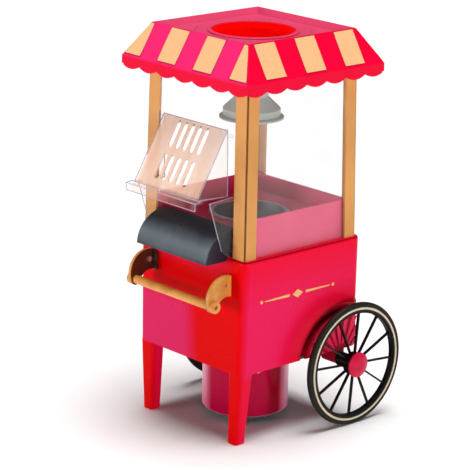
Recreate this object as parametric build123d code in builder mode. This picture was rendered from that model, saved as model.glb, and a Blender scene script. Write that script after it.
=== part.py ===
from build123d import *
from math import atan2, cos, radians, sin, sqrt
import os

# Hot-air popcorn maker in the shape of a fairground cart.
# Millimetres, +Z up, the serving chute faces -Y, the two big wheels stand at the back.
# The origin is on the floor, in the middle of the overall width and length.

os.makedirs("parts", exist_ok=True)

# ---------------------------------------------------------------- driving dimensions
HEIGHT = 400.0  # rim of the canopy

# red cart body: half sizes at its foot and at its deck
BODY_LOW = 72.0
DECK = 188.4
FOOT_HALF = (76.9, 80.1)
DECK_HALF = (78.9, 78.9)
BODY_BACK = 2.3  # middle of the body, behind the middle of the case
BODY_CORNER = 8.0
SKIN = 2.5

# rear wheels
WHEEL_Y = 58.7
WHEEL_R = 63.8
WHEEL_FACE = 99.9
TYRE_WIDTH = 6.4
SPOKES = 12
HUB_CAP_PROUD = 6.0
AXLE_R = 2.5
RUNNING = 0.06  # radial clearance of a turning fit

# display case above the deck: outer half sizes of the corner posts, foot and head
POST_FOOT = (75.0, 74.2)
POST_HEAD = (72.4, 71.9)
CASE_TOP = 353.0
POST_WIDTH = 17.0
POST_DEPTH = 14.8
REAR_POST_BACK = 1.8  # the rear posts stand this much further back than the front ones forward
GLAZING = 1.8

# canopy
EAVE_HALF = 91.5
EAVE_Z = 366.0
RIM_HALF = 70.5
VALANCE_LOW = 354.0
SCALLOP_DEPTH = 4.0
STRIPES = 7
OPENING_R = 41.9

# serving hood, chute and handle, measured from the middle of the case
HOOD_REACH = 118.0
HOOD_HALF = 47.0
CHUTE_HALF = 52.0
HANDLE_Y = -100.0
HANDLE_Z = 144.5

# motor base
BASE_R = 44.2
BASE_LOW = 6.0

# The case stands a little in front of the middle, because the wheels reach further
# back than the hood reaches forward.
CASE_Y = -(WHEEL_Y + WHEEL_R - HOOD_REACH) / 2

# Heights are drawn from a level this far above the table, where the legs' taper ends.
STAND = 1.6
AXLE_Z = WHEEL_R - STAND


# ---------------------------------------------------------------- shared planes
def level(z):
    """Horizontal plane at height z, centred on the case: x right, y back."""
    return Plane((0, CASE_Y, z))


def side(x):
    """Upright plane facing +X at x: its x runs back, its y runs up."""
    return Plane(origin=(x, CASE_Y, 0), x_dir=(0, 1, 0), z_dir=(1, 0, 0))


def front(y):
    """Upright plane facing -Y, y from the middle of the case: x right, y up."""
    return Plane(origin=(0, CASE_Y + y, 0), x_dir=(1, 0, 0), z_dir=(0, -1, 0))


def save(piece, name):
    """Labels a finished piece, lifts it to its height and writes it."""
    standing = piece.part.moved(Location((0, 0, STAND)))
    standing.label = name
    export_step(standing, f"parts/{name}.step")


def body_half(z):
    """Half width and half length of the cart body's outside at height z."""
    share = (z - BODY_LOW) / (DECK - BODY_LOW)
    return tuple(a + (b - a) * share for a, b in zip(FOOT_HALF, DECK_HALF))


def post_half(z):
    """Outer half sizes of the display case at height z."""
    share = (z - DECK) / (CASE_TOP - DECK)
    return tuple(a + (b - a) * share for a, b in zip(POST_FOOT, POST_HEAD))


# ---------------------------------------------------------------- cart body
ARCH_R = 61.5  # wheel-arch cove, at the side's skin
ARCH_FLOOR_R = 50.5
ARCH_HUB_R = 48.5
ARCH_DEPTH = 5.0
RIB_COUNT = 24
RIB_ANGLE = 8.5
RIB_START = 16.0
RIB_END = 46.5
RIB_PROUD = 1.2
CHAMBER_HOLE_R = 47.5
SWITCH_Z = 150.0
SWITCH_PIN_Y = 75.6
SWITCH_HOLE = (19.0, 27.0)
INLET_Z = 96.0
INLET_R = 6.0
FLOOR_THICK = 2.5
SCREW_R = 1.5
BOSS_R = 4.5
BOSS_TOP = 96.0
BOSSES = [(-70.5, -50.0), (70.5, -50.0), (-35.0, 71.0), (35.0, 71.0)]


def axle_axis():
    """The wheels' common axis."""
    return Axis((0, CASE_Y + WHEEL_Y, AXLE_Z), (1, 0, 0))


def radial_plane():
    """Plane through the axle: its x runs along the axle, its y is the radius."""
    return Plane(
        origin=(0, CASE_Y + WHEEL_Y, AXLE_Z), x_dir=(1, 0, 0), z_dir=(0, -1, 0)
    )


def make_cart_body():
    """Moulded body shell, open below, with wheel-arch coves and ribbed hub discs."""
    inner_low = [2 * (h - SKIN) for h in body_half(BODY_LOW)]
    inner_high = [2 * (h - SKIN) for h in body_half(DECK - SKIN)]
    with BuildPart() as body:
        with BuildSketch(level(BODY_LOW)):
            with Locations((0, BODY_BACK)):
                RectangleRounded(2 * FOOT_HALF[0], 2 * FOOT_HALF[1], BODY_CORNER)
        with BuildSketch(level(DECK)):
            with Locations((0, BODY_BACK)):
                RectangleRounded(2 * DECK_HALF[0], 2 * DECK_HALF[1], BODY_CORNER)
        loft()
        fillet(body.faces().sort_by(Axis.Z)[-1].edges(), radius=3.0)
        with BuildSketch(level(BODY_LOW)):
            with Locations((0, BODY_BACK)):
                RectangleRounded(*inner_low, BODY_CORNER - SKIN)
        with BuildSketch(level(DECK - SKIN)):
            with Locations((0, BODY_BACK)):
                RectangleRounded(*inner_high, BODY_CORNER - SKIN)
        loft(mode=Mode.SUBTRACT)
        # wheel-arch backing, so that the cove doesn't cut through the skin
        for hand in (-1, 1):
            backing = min(hand * 66.5, hand * 75.5)
            with BuildSketch(side(backing)):
                with Locations((WHEEL_Y, AXLE_Z)):
                    Circle(ARCH_R + 1.0)
                with Locations((BODY_BACK, (BODY_LOW + FLOOR_THICK + DECK) / 2)):
                    Rectangle(
                        2 * (DECK_HALF[1] - 0.6),
                        DECK - BODY_LOW - FLOOR_THICK,
                        mode=Mode.INTERSECT,
                    )
            extrude(amount=9.0)
        # the cove is an annular groove around the axle, cut into both sides
        for hand in (-1, 1):
            outer = hand * 79.5
            inner = hand * (DECK_HALF[0] - 1.4 - ARCH_DEPTH)
            with BuildSketch(radial_plane()):
                Polygon(
                    (outer, ARCH_R + 0.5),
                    (inner, ARCH_FLOOR_R),
                    (outer, ARCH_HUB_R),
                    align=None,
                )
            revolve(axis=axle_axis(), mode=Mode.SUBTRACT)
        # screw bosses for the floor plate
        with BuildSketch(level(BODY_LOW + FLOOR_THICK)):
            with Locations(*BOSSES):
                Circle(BOSS_R)
                Circle(SCREW_R, mode=Mode.SUBTRACT)
        extrude(amount=BOSS_TOP - BODY_LOW - FLOOR_THICK)
        # deck opening over the popping chamber, switch and lead openings at the back
        with BuildSketch(level(DECK - 2 * SKIN)):
            Circle(CHAMBER_HOLE_R)
        extrude(amount=4 * SKIN, mode=Mode.SUBTRACT)
        with BuildSketch(front(74.0)):
            with Locations((0, SWITCH_Z)):
                Rectangle(*SWITCH_HOLE)
            with Locations((0, INLET_Z)):
                Circle(INLET_R)
        extrude(amount=-12.0, mode=Mode.SUBTRACT)
    return body


def flank(hand, z):
    """Plane on the body's leaning side at height z: its x runs back on the right flank
    and forward on the left one, its y runs up the skin."""
    lean = atan2(DECK_HALF[0] - FOOT_HALF[0], DECK - BODY_LOW)
    return Plane(
        origin=(hand * body_half(z)[0], CASE_Y, z),
        x_dir=(0, hand, 0),
        z_dir=(hand * cos(lean), 0, -sin(lean)),
    )


def make_arch_ribs(hand):
    """Fan of raised ribs round the axle on one side wall, above the body's foot."""
    half = radians(RIB_ANGLE / 2)
    with BuildPart() as ribs:
        with BuildSketch(flank(hand, AXLE_Z)):
            with Locations((hand * WHEEL_Y, 0)):
                with PolarLocations(0, RIB_COUNT, start_angle=7.5):
                    Polygon(
                        (RIB_START, -RIB_START * sin(half)),
                        (RIB_END, -RIB_END * sin(half)),
                        (RIB_END, RIB_END * sin(half)),
                        (RIB_START, RIB_START * sin(half)),
                        align=None,
                    )
            with Locations((hand * (WHEEL_Y - 28.7), BODY_LOW - AXLE_Z + 31.0)):
                Rectangle(100.6, 60.0, mode=Mode.INTERSECT)
        extrude(amount=RIB_PROUD)
    return ribs


def make_floor():
    """Plate that closes the cart body below and carries the motor base."""
    with BuildPart() as floor:
        with BuildSketch(level(BODY_LOW)):
            width, length = (2 * (h - SKIN) - 0.6 for h in body_half(BODY_LOW))
            with Locations((0, BODY_BACK)):
                RectangleRounded(width, length, BODY_CORNER - SKIN)
            Circle(38.0, mode=Mode.SUBTRACT)
            with Locations(*BOSSES):
                Circle(SCREW_R + 0.2, mode=Mode.SUBTRACT)
        extrude(amount=FLOOR_THICK)
    return floor


def make_floor_screws():
    """Pan-head screws that hold the floor plate to the body's bosses."""
    with BuildPart() as screws:
        with BuildSketch(level(BODY_LOW - 2.0)):
            with Locations(*BOSSES):
                Circle(3.2)
        extrude(amount=2.0)
        with BuildSketch(level(BODY_LOW)):
            with Locations(*BOSSES):
                Circle(SCREW_R - 0.05)
        extrude(amount=16.0)
        with BuildSketch(level(BODY_LOW - 2.0)):
            with Locations(*BOSSES):
                Rectangle(4.2, 0.9)
                Rectangle(0.9, 4.2)
        extrude(amount=1.0, mode=Mode.SUBTRACT)
    return screws


LEG_TOP = (57.9, 75.3, -76.9, -59.6)
LEG_FOOT = (57.9, 70.9, -76.9, -63.9)
LEG_CORNER = 3.0


def make_leg(hand):
    """Front leg, tapering towards the floor on its outer and rear faces."""
    with BuildPart() as leg:
        for z, (x0, x1, y0, y1) in ((-STAND, LEG_FOOT), (BODY_LOW, LEG_TOP)):
            with BuildSketch(level(z)):
                with Locations((hand * (x0 + x1) / 2, (y0 + y1) / 2)):
                    RectangleRounded(x1 - x0, y1 - y0, LEG_CORNER)
        loft()
        fillet(leg.faces().sort_by(Axis.Z)[0].edges(), radius=1.8)
    return leg


BRACKET_IN = 56.0
BRACKET_OUT = 76.0
BRACKET_HALF = 6.3


def make_axle_bracket(hand):
    """Hanger under the floor plate that holds the axle, rounded below."""
    start = min(hand * BRACKET_IN, hand * BRACKET_OUT)
    with BuildPart() as bracket:
        with BuildSketch(side(start)):
            with Locations((WHEEL_Y, AXLE_Z)):
                Circle(BRACKET_HALF)
            with Locations((WHEEL_Y, (AXLE_Z + BODY_LOW) / 2)):
                Rectangle(2 * BRACKET_HALF, BODY_LOW - AXLE_Z)
            with Locations((WHEEL_Y, AXLE_Z)):
                Circle(AXLE_R, mode=Mode.SUBTRACT)
        extrude(amount=BRACKET_OUT - BRACKET_IN)
    return bracket


AXLE_HALF = WHEEL_FACE + 1.0


def make_axle():
    """Steel rod across the cart, fixed in the brackets, with bevelled ends."""
    with BuildPart() as axle:
        with BuildSketch(side(-AXLE_HALF)):
            with Locations((WHEEL_Y, AXLE_Z)):
                Circle(AXLE_R)
        extrude(amount=2 * AXLE_HALF)
        chamfer(axle.edges().filter_by(GeomType.CIRCLE), length=0.5)
    return axle


# ---------------------------------------------------------------- wheels
TYRE_SEAT = 54.9
RIM_INNER = 53.0
LINE_R = (56.6, 59.2)
LINE_GROOVE = 0.6
NECK_R = 7.5
HUB_R = 11.8
HUB_IN = 78.0
HUB_OUT = WHEEL_FACE + 2.4
SPOKE_WIDE = 1.6
SPOKE_DEEP = 2.8
SPOKE_MID = WHEEL_FACE - TYRE_WIDTH / 2
SPOKE_START = -5.0
CAP_R = 13.0
CAP_EDGE = 1.4


def turned(hand, points):
    """Ring about the axle from a profile of (distance from the middle, radius)."""
    with BuildPart() as ring:
        with BuildSketch(radial_plane()):
            Polygon(*[(hand * x, r) for x, r in points], align=None)
        revolve(axis=axle_axis())
    return ring


def make_tyre(hand):
    """Solid rubber tyre with a rounded tread and a groove for the pale line."""
    inner = WHEEL_FACE - TYRE_WIDTH
    with BuildPart() as tyre:
        with BuildSketch(radial_plane()) as profile:
            Polygon(
                (hand * inner, TYRE_SEAT),
                (hand * WHEEL_FACE, TYRE_SEAT),
                (hand * WHEEL_FACE, WHEEL_R),
                (hand * inner, WHEEL_R),
                align=None,
            )
            fillet(profile.vertices().sort_by(Axis.Y)[-2:], radius=2.6)
            with Locations((hand * WHEEL_FACE, sum(LINE_R) / 2)):
                Rectangle(2 * LINE_GROOVE, LINE_R[1] - LINE_R[0], mode=Mode.SUBTRACT)
        revolve(axis=axle_axis())
    return tyre


def make_pale_line(hand):
    """Pale ring set into the tyre's outer face."""
    low, high = WHEEL_FACE - LINE_GROOVE, WHEEL_FACE + 0.3
    points = [(low, LINE_R[0]), (low, LINE_R[1]), (high, LINE_R[1] - 0.6)]
    points.append((high, LINE_R[0] + 0.6))
    return turned(hand, points)


def make_rim(hand):
    """Black wheel centre: hub barrel, spokes and the band that carries the tyre."""
    inner = WHEEL_FACE - TYRE_WIDTH
    band = WHEEL_FACE - 0.8 - inner - 0.8
    spoke_length = RIM_INNER + 1.0 - HUB_R + 1.0
    start = hand * (inner + 0.8) if hand > 0 else -(WHEEL_FACE - 0.8)
    with BuildPart() as rim:
        with BuildSketch(side(start)):
            with Locations((WHEEL_Y, AXLE_Z)):
                Circle(TYRE_SEAT)
                Circle(RIM_INNER, mode=Mode.SUBTRACT)
        extrude(amount=band)
        with BuildSketch(side(hand * HUB_IN)):
            with Locations((WHEEL_Y, AXLE_Z)):
                Circle(NECK_R)
        extrude(amount=hand * (HUB_OUT - HUB_IN))
        with BuildSketch(side(hand * inner)):
            with Locations((WHEEL_Y, AXLE_Z)):
                Circle(HUB_R)
        extrude(amount=hand * (HUB_OUT - inner))
        with BuildSketch(side(hand * SPOKE_MID)):
            with Locations((WHEEL_Y, AXLE_Z)):
                with PolarLocations(
                    HUB_R - 1.0 + spoke_length / 2, SPOKES, start_angle=SPOKE_START
                ):
                    Rectangle(spoke_length, SPOKE_WIDE)
        extrude(amount=SPOKE_DEEP / 2, both=True)
        with BuildSketch(side(hand * HUB_IN)):
            with Locations((WHEEL_Y, AXLE_Z)):
                Circle(AXLE_R + RUNNING)
        extrude(amount=hand * (HUB_OUT - HUB_IN), mode=Mode.SUBTRACT)
    return rim


def make_hub_cap(hand):
    """Domed red cap on the end of the hub."""
    with BuildPart() as cap:
        with BuildSketch(radial_plane()) as profile:
            with BuildLine():
                low = (hand * HUB_OUT, 0)
                edge = (hand * HUB_OUT, CAP_R)
                shoulder = (hand * (HUB_OUT + CAP_EDGE), CAP_R - 0.2)
                mid = (hand * (WHEEL_FACE + HUB_CAP_PROUD - 0.5), 7.5)
                nose = (hand * (WHEEL_FACE + HUB_CAP_PROUD), 0)
                Line(low, edge)
                Line(edge, shoulder)
                Spline(shoulder, mid, nose, tangents=((hand * 0.25, -1), (0, -1)))
                Line(nose, low)
            make_face()
        revolve(axis=axle_axis())
    return cap


# ---------------------------------------------------------------- motor base
BASE_WALL = 2.5
FEET = 4


def make_base_shell():
    """Round housing of the motor and fan, open above and below."""
    with BuildPart() as shell:
        with BuildSketch(level(BASE_LOW)):
            Circle(BASE_R)
        extrude(amount=BODY_LOW - BASE_LOW)
        fillet(shell.faces().sort_by(Axis.Z)[0].edges(), radius=2.4)
        with BuildSketch(level(BASE_LOW)):
            Circle(BASE_R - BASE_WALL)
        extrude(amount=BODY_LOW - BASE_LOW, mode=Mode.SUBTRACT)
    return shell


def make_base_plate():
    """Bottom cover with curved air slots and a ring of feet seats."""
    with BuildPart() as plate:
        with BuildSketch(level(BASE_LOW - 1.0)):
            Circle(BASE_R - BASE_WALL - 0.1)
            for ring in (16.0, 22.0):
                with PolarLocations(ring, 8):
                    SlotOverall(7.0, 3.0, rotation=90, mode=Mode.SUBTRACT)
        extrude(amount=FLOOR_THICK)
    return plate


def make_feet():
    """Rubber feet stuck under the base plate."""
    with BuildPart() as feet:
        with BuildSketch(level(-STAND)):
            with PolarLocations(34.0, FEET, start_angle=45):
                Circle(5.0)
        extrude(amount=BASE_LOW - 1.0 + STAND)
        chamfer(feet.faces().group_by(Axis.Z)[0].edges(), length=0.8)
    return feet


MOTOR_LOW = 16.0
MOTOR_TOP = 48.0
MOTOR_R = 19.0
SHAFT_R = 1.6
SHAFT_TOP = 68.0
FAN_LOW = 54.0
FAN_TOP = 66.0
FAN_R = 36.0


def make_motor():
    """Motor can with end bells and terminals; the shaft runs in its top bearing."""
    with BuildPart() as motor:
        with BuildSketch(level(MOTOR_LOW)):
            Circle(MOTOR_R)
        extrude(amount=MOTOR_TOP - MOTOR_LOW)
        fillet(motor.edges().filter_by(GeomType.CIRCLE), radius=2.0)
        with BuildSketch(level(MOTOR_TOP)):
            Circle(6.0)
        extrude(amount=2.0)
        with BuildSketch(level(MOTOR_LOW - 3.0)):
            Circle(7.0)
            with Locations((0, 12.0), (0, -12.0)):
                Rectangle(5.0, 1.0)
        extrude(amount=3.2)
        with BuildSketch(level(MOTOR_TOP - 20.0)):
            Circle(SHAFT_R + RUNNING)
        extrude(amount=22.0, mode=Mode.SUBTRACT)
    return motor


def make_motor_mount():
    """Three-armed bracket that clamps the motor to the base housing."""
    with BuildPart() as mount:
        with BuildSketch(level(MOTOR_TOP)):
            with PolarLocations(29.6, 3, start_angle=90):
                Rectangle(23.2, 9.0)
            Circle(MOTOR_R)
            Circle(6.1, mode=Mode.SUBTRACT)
        extrude(amount=2.0)
        with BuildSketch(level(MOTOR_TOP - 14.0)):
            with PolarLocations(39.6, 3, start_angle=90):
                Rectangle(3.2, 9.0)
        extrude(amount=14.0)
    return mount


def make_shaft():
    """Motor shaft; it carries the fan."""
    with BuildPart() as shaft:
        with BuildSketch(level(MOTOR_TOP - 19.5)):
            Circle(SHAFT_R)
        extrude(amount=SHAFT_TOP - MOTOR_TOP + 19.5)
    return shaft


def make_fan():
    """Centrifugal impeller: back disc, hub and curved blades."""
    with BuildPart() as fan:
        with BuildSketch(level(FAN_LOW)):
            Circle(FAN_R)
        extrude(amount=1.4)
        with BuildSketch(level(FAN_LOW)):
            Circle(6.0)
        extrude(amount=FAN_TOP - FAN_LOW)
        with BuildSketch(level(FAN_LOW + 1.0)):
            with PolarLocations(0, 12):
                with BuildLine():
                    ThreePointArc((12.0, 0), (24.0, 3.5), (35.0, 1.0))
                    ThreePointArc((12.0, 1.2), (23.8, 4.9), (35.2, 2.2))
                    Line((12.0, 0), (12.0, 1.2))
                    Line((35.0, 1.0), (35.2, 2.2))
                make_face()
        extrude(amount=FAN_TOP - FAN_LOW - 1.0)
        with BuildSketch(level(FAN_LOW)):
            Circle(SHAFT_R)
        extrude(amount=FAN_TOP - FAN_LOW, mode=Mode.SUBTRACT)
    return fan


# ---------------------------------------------------------------- heater and chamber
DUCT_R = 46.0
DUCT_TOP = 150.0
CHAMBER_R = 37.0
CHAMBER_LOW = 110.0
CHAMBER_WALL = 1.2
HOPPER_FLOOR = 210.0
SLOT_COUNT = 16
HEATER_LOW = 78.0
HEATER_TOP = 104.0
MICA_HALF = 29.0
COIL_R = 30.0
WIRE_R = 0.9


def make_air_duct():
    """Heat-proof tube round the heater and the foot of the popping chamber."""
    with BuildPart() as duct:
        with BuildSketch(level(BODY_LOW + FLOOR_THICK)):
            Circle(DUCT_R)
            Circle(DUCT_R - SKIN, mode=Mode.SUBTRACT)
        extrude(amount=DUCT_TOP - BODY_LOW - FLOOR_THICK)
        with BuildSketch(level(DUCT_TOP)):
            Circle(DUCT_R)
            Circle(CHAMBER_R + 0.1, mode=Mode.SUBTRACT)
        extrude(amount=2.0)
    return duct


def make_mica_frame():
    """Crossed mica boards that carry the heating wire."""
    with BuildPart() as frame:
        with BuildSketch(level(HEATER_LOW)):
            Rectangle(2 * MICA_HALF, 1.2)
            Rectangle(1.2, 2 * MICA_HALF)
        extrude(amount=HEATER_TOP - HEATER_LOW)
        # feet that stand on the floor plate
        with BuildSketch(level(BODY_LOW + FLOOR_THICK)):
            with PolarLocations(41.0, 4):
                Rectangle(4.8, 3.0)
        extrude(amount=HEATER_LOW + 2.0 - BODY_LOW - FLOOR_THICK)
        with BuildSketch(level(HEATER_LOW)):
            Rectangle(2 * 43.4, 1.2)
            Rectangle(1.2, 2 * 43.4)
        extrude(amount=2.0)
    return frame


def make_coil():
    """Heating wire wound round the mica boards."""
    rise = 4.0
    height = 16.0
    start = HEATER_LOW + 5.0
    path = Helix(rise, height, COIL_R + 0.1, center=(0, CASE_Y, start))
    with BuildPart() as coil:
        with BuildSketch(Plane(origin=path @ 0, z_dir=path % 0)):
            Circle(WIRE_R)
        sweep(path=path, is_frenet=True)
    return coil


def make_thermal_fuse():
    """Thermal fuse laid on the boards, under the chamber."""
    with BuildPart() as fuse:
        with BuildSketch(side(-6.0)):
            with Locations((0, HEATER_TOP + 2.0)):
                Circle(2.0)
        extrude(amount=12.0)
        with BuildSketch(side(-14.0)):
            with Locations((0, HEATER_TOP + 2.0)):
                Circle(0.5)
        extrude(amount=28.0)
    return fuse


def make_thermostat():
    """Thermostat button with two tabs on the outside of the duct."""
    with BuildPart() as thermostat:
        with BuildSketch(front(DUCT_R - 0.1)):
            with Locations((0, 112.0)):
                Circle(7.0)
        extrude(amount=-8.0)
        with BuildSketch(front(DUCT_R + 7.9)):
            with Locations((-4.0, 112.0), (4.0, 112.0)):
                Rectangle(1.0, 5.0)
        extrude(amount=-6.0)
        with BuildSketch(level(112.0)):
            Circle(DUCT_R + 0.05)
        extrude(amount=10.0, both=True, mode=Mode.SUBTRACT)
    return thermostat


def make_chamber():
    """Aluminium popping cup: closed foot, slanted air slots, rolled mouth flange."""
    with BuildPart() as chamber:
        with BuildSketch(level(CHAMBER_LOW)):
            Circle(CHAMBER_R)
        extrude(amount=HOPPER_FLOOR - CHAMBER_LOW)
        with BuildSketch(level(HOPPER_FLOOR)):
            Circle(CHAMBER_R + 4.0)
        extrude(amount=1.4)
        with BuildSketch(level(CHAMBER_LOW + CHAMBER_WALL)):
            Circle(CHAMBER_R - CHAMBER_WALL)
        extrude(amount=HOPPER_FLOOR, mode=Mode.SUBTRACT)
        fillet(chamber.faces().sort_by(Axis.Z)[0].edges(), radius=1.0)
        slant = Plane(
            origin=(0, CASE_Y, CHAMBER_LOW + 18.0), x_dir=(0, 1, 0), z_dir=(1, 0, 0)
        )
        with Locations(*[slant.rotated((0, 0, k * 360.0 / SLOT_COUNT))
                         for k in range(SLOT_COUNT)]):
            with Locations((0, 0, CHAMBER_R - 3.0)):
                Box(2.0, 14.0, 8.0, rotation=(0, 0, 28), mode=Mode.SUBTRACT)
    return chamber


# ---------------------------------------------------------------- switch and lead inlet
def make_switch_frame():
    """Bezel of the rocker switch in the back wall."""
    with BuildPart() as frame:
        with BuildSketch(front(82.0)):
            with Locations((0, SWITCH_Z)):
                RectangleRounded(24.0, 32.0, 2.0)
        extrude(amount=-2.0)
        with BuildSketch(front(66.6)):
            with Locations((0, SWITCH_Z)):
                Rectangle(SWITCH_HOLE[0] - 0.4, SWITCH_HOLE[1] - 0.4)
        extrude(amount=-15.6)
        with BuildSketch(front(68.1)):
            with Locations((0, SWITCH_Z)):
                Rectangle(14.0, 23.0)
        extrude(amount=-20.0, mode=Mode.SUBTRACT)
        with BuildSketch(side(-12.0)):
            with Locations((SWITCH_PIN_Y, SWITCH_Z)):
                Circle(1.5)
        extrude(amount=24.0, mode=Mode.SUBTRACT)
    return frame


def make_rocker():
    """Rocker of the switch, on two stub pins; it rests with its lower end pressed."""
    with BuildPart() as rocker:
        with BuildSketch(side(-6.6)):
            with BuildLine():
                Polyline(
                    (70.6, SWITCH_Z - 7.0),
                    (83.0, SWITCH_Z - 10.4),
                    (84.0, SWITCH_Z - 1.0),
                    (86.0, SWITCH_Z + 8.4),
                    (72.6, SWITCH_Z + 7.5),
                    close=True,
                )
            make_face()
        extrude(amount=13.2)
        fillet(rocker.edges().filter_by(Axis.X).sort_by(Axis.Y)[-3:], radius=1.0)
        with BuildSketch(side(-8.9)):
            with Locations((SWITCH_PIN_Y, SWITCH_Z)):
                Circle(1.5 - RUNNING)
        extrude(amount=17.8)
    return rocker


def make_lead_inlet():
    """Rubber grommet where the mains lead enters the back wall."""
    with BuildPart() as inlet:
        with BuildSketch(front(78.1)):
            with Locations((0, INLET_Z)):
                Circle(INLET_R - 0.1)
        extrude(amount=-4.2)
        with BuildSketch(front(82.3)):
            with Locations((0, INLET_Z)):
                Circle(INLET_R + 2.5)
        extrude(amount=-2.5)
        fillet(inlet.faces().sort_by(Axis.Y)[-1].edges(), radius=1.0)
        with BuildSketch(front(77.6)):
            with Locations((0, INLET_Z)):
                Circle(3.2)
        extrude(amount=-10.0, mode=Mode.SUBTRACT)
    return inlet


# ---------------------------------------------------------------- display case
HOPPER_HALF = 69.2
HOPPER_BACK = 68.6
HOPPER_FRONT = -70.9
HOPPER_TOP = 227.0
HOPPER_WALL = 2.0


def make_hopper():
    """Red tray inside the case: three walls and a floor with the chamber's mouth."""
    with BuildPart() as hopper:
        with BuildSketch(level(DECK)):
            with Locations((0, (HOPPER_BACK + HOPPER_FRONT) / 2)):
                Rectangle(2 * HOPPER_HALF, HOPPER_BACK - HOPPER_FRONT)
            with Locations((0, (HOPPER_BACK + HOPPER_FRONT) / 2 - HOPPER_WALL)):
                Rectangle(
                    2 * (HOPPER_HALF - HOPPER_WALL),
                    HOPPER_BACK - HOPPER_FRONT,
                    mode=Mode.SUBTRACT,
                )
        extrude(amount=HOPPER_TOP - DECK)
        with BuildSketch(level(HOPPER_FLOOR - 2.5)):
            with Locations((0, (HOPPER_BACK - 1.0 - 66.0) / 2)):
                Rectangle(2 * HOPPER_HALF - 1.0, HOPPER_BACK - 1.0 + 66.0)
            Circle(CHAMBER_R + 0.2, mode=Mode.SUBTRACT)
        extrude(amount=2.5)
        rims = hopper.edges().filter_by(Axis.Y).group_by(Axis.Z)[-1]
        fillet(rims, radius=0.7)
    return hopper


def strip_post(hand_x, hand_y):
    """Corner post: an L of two strips with a groove down the outer corner."""
    with BuildPart() as post:
        for z in (DECK, CASE_TOP):
            px, py = post_half(z)
            py += REAR_POST_BACK if hand_y > 0 else 0.0
            with BuildSketch(level(z)):
                with BuildLine():
                    Polyline(
                        (hand_x * (px - 1.6), hand_y * py),
                        (hand_x * (px - POST_WIDTH), hand_y * py),
                        (hand_x * (px - POST_WIDTH), hand_y * (py - 2.5)),
                        (hand_x * (px - 2.5), hand_y * (py - 2.5)),
                        (hand_x * (px - 2.5), hand_y * (py - POST_DEPTH)),
                        (hand_x * px, hand_y * (py - POST_DEPTH)),
                        (hand_x * px, hand_y * (py - 1.6)),
                        (hand_x * (px - 1.6), hand_y * (py - 1.6)),
                        close=True,
                    )
                make_face()
        loft(ruled=True)
    return post


def make_side_window(hand):
    """Clear pane between the posts of one side."""
    with BuildPart() as pane:
        for z in (DECK + 0.2, CASE_TOP - 0.2):
            px, py = post_half(z)
            outer = px - 2.6
            with BuildSketch(level(z)):
                with Locations((hand * (outer - GLAZING / 2), 0)):
                    Rectangle(GLAZING, 2 * (py - 2.8))
        loft(ruled=True)
    return pane


def make_rear_window():
    """Clear pane between the rear posts."""
    with BuildPart() as pane:
        for z in (DECK + 0.2, CASE_TOP - 0.2):
            px, py = post_half(z)
            outer = py + REAR_POST_BACK - 2.6
            with BuildSketch(level(z)):
                with Locations((0, outer - GLAZING / 2)):
                    Rectangle(2 * (px - 2.8 - GLAZING), GLAZING)
        loft(ruled=True)
    return pane


FRONT_PANE_LOW = 318.0
HOOD_PIN = (-74.0, 308.5)  # distance behind the middle of the case, height
HOOD_PIN_R = 2.0
EAR = (50.0, 54.0)


def make_front_pane():
    """Clear strip over the serving opening, with two ears that hold the hood's pins."""
    inner = POST_HEAD[0] - POST_WIDTH - 0.3
    with BuildPart() as pane:
        with BuildSketch(front(-70.9)):
            with Locations((0, (FRONT_PANE_LOW + CASE_TOP) / 2)):
                Rectangle(2 * inner, CASE_TOP - 0.2 - FRONT_PANE_LOW)
        extrude(amount=GLAZING)
        for hand in (-1, 1):
            with BuildSketch(side(min(hand * EAR[0], hand * EAR[1]))):
                with BuildLine():
                    y, z = HOOD_PIN
                    Polyline(
                        (-70.9, FRONT_PANE_LOW + 6.0),
                        (-72.0, FRONT_PANE_LOW + 6.0),
                        (y - 4.0, z + 3.0),
                        (y - 4.0, z - 4.0),
                        (-70.9, z - 4.0),
                        close=True,
                    )
                make_face()
                with Locations(HOOD_PIN):
                    Circle(HOOD_PIN_R + RUNNING, mode=Mode.SUBTRACT)
            extrude(amount=EAR[1] - EAR[0])
    return pane


def make_top_frame():
    """Square ring that ties the heads of the posts and seats the canopy."""
    with BuildPart() as frame:
        with BuildSketch(level(CASE_TOP)):
            RectangleRounded(2 * 73.5, 2 * 73.0, 3.0)
            RectangleRounded(2 * 60.0, 2 * 60.0, 4.0, mode=Mode.SUBTRACT)
        extrude(amount=4.0)
    return frame


# ---------------------------------------------------------------- chute and spill guards
CHUTE_TIP = -103.5
CHUTE_LOW = 184.5
CHUTE_CREST = (-66.0, 216.0)
CHUTE_WALL = 2.5
CHUTE_TAIL = -58.0
HOLLOW_START = 112.0  # degrees round the spout's section


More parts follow.
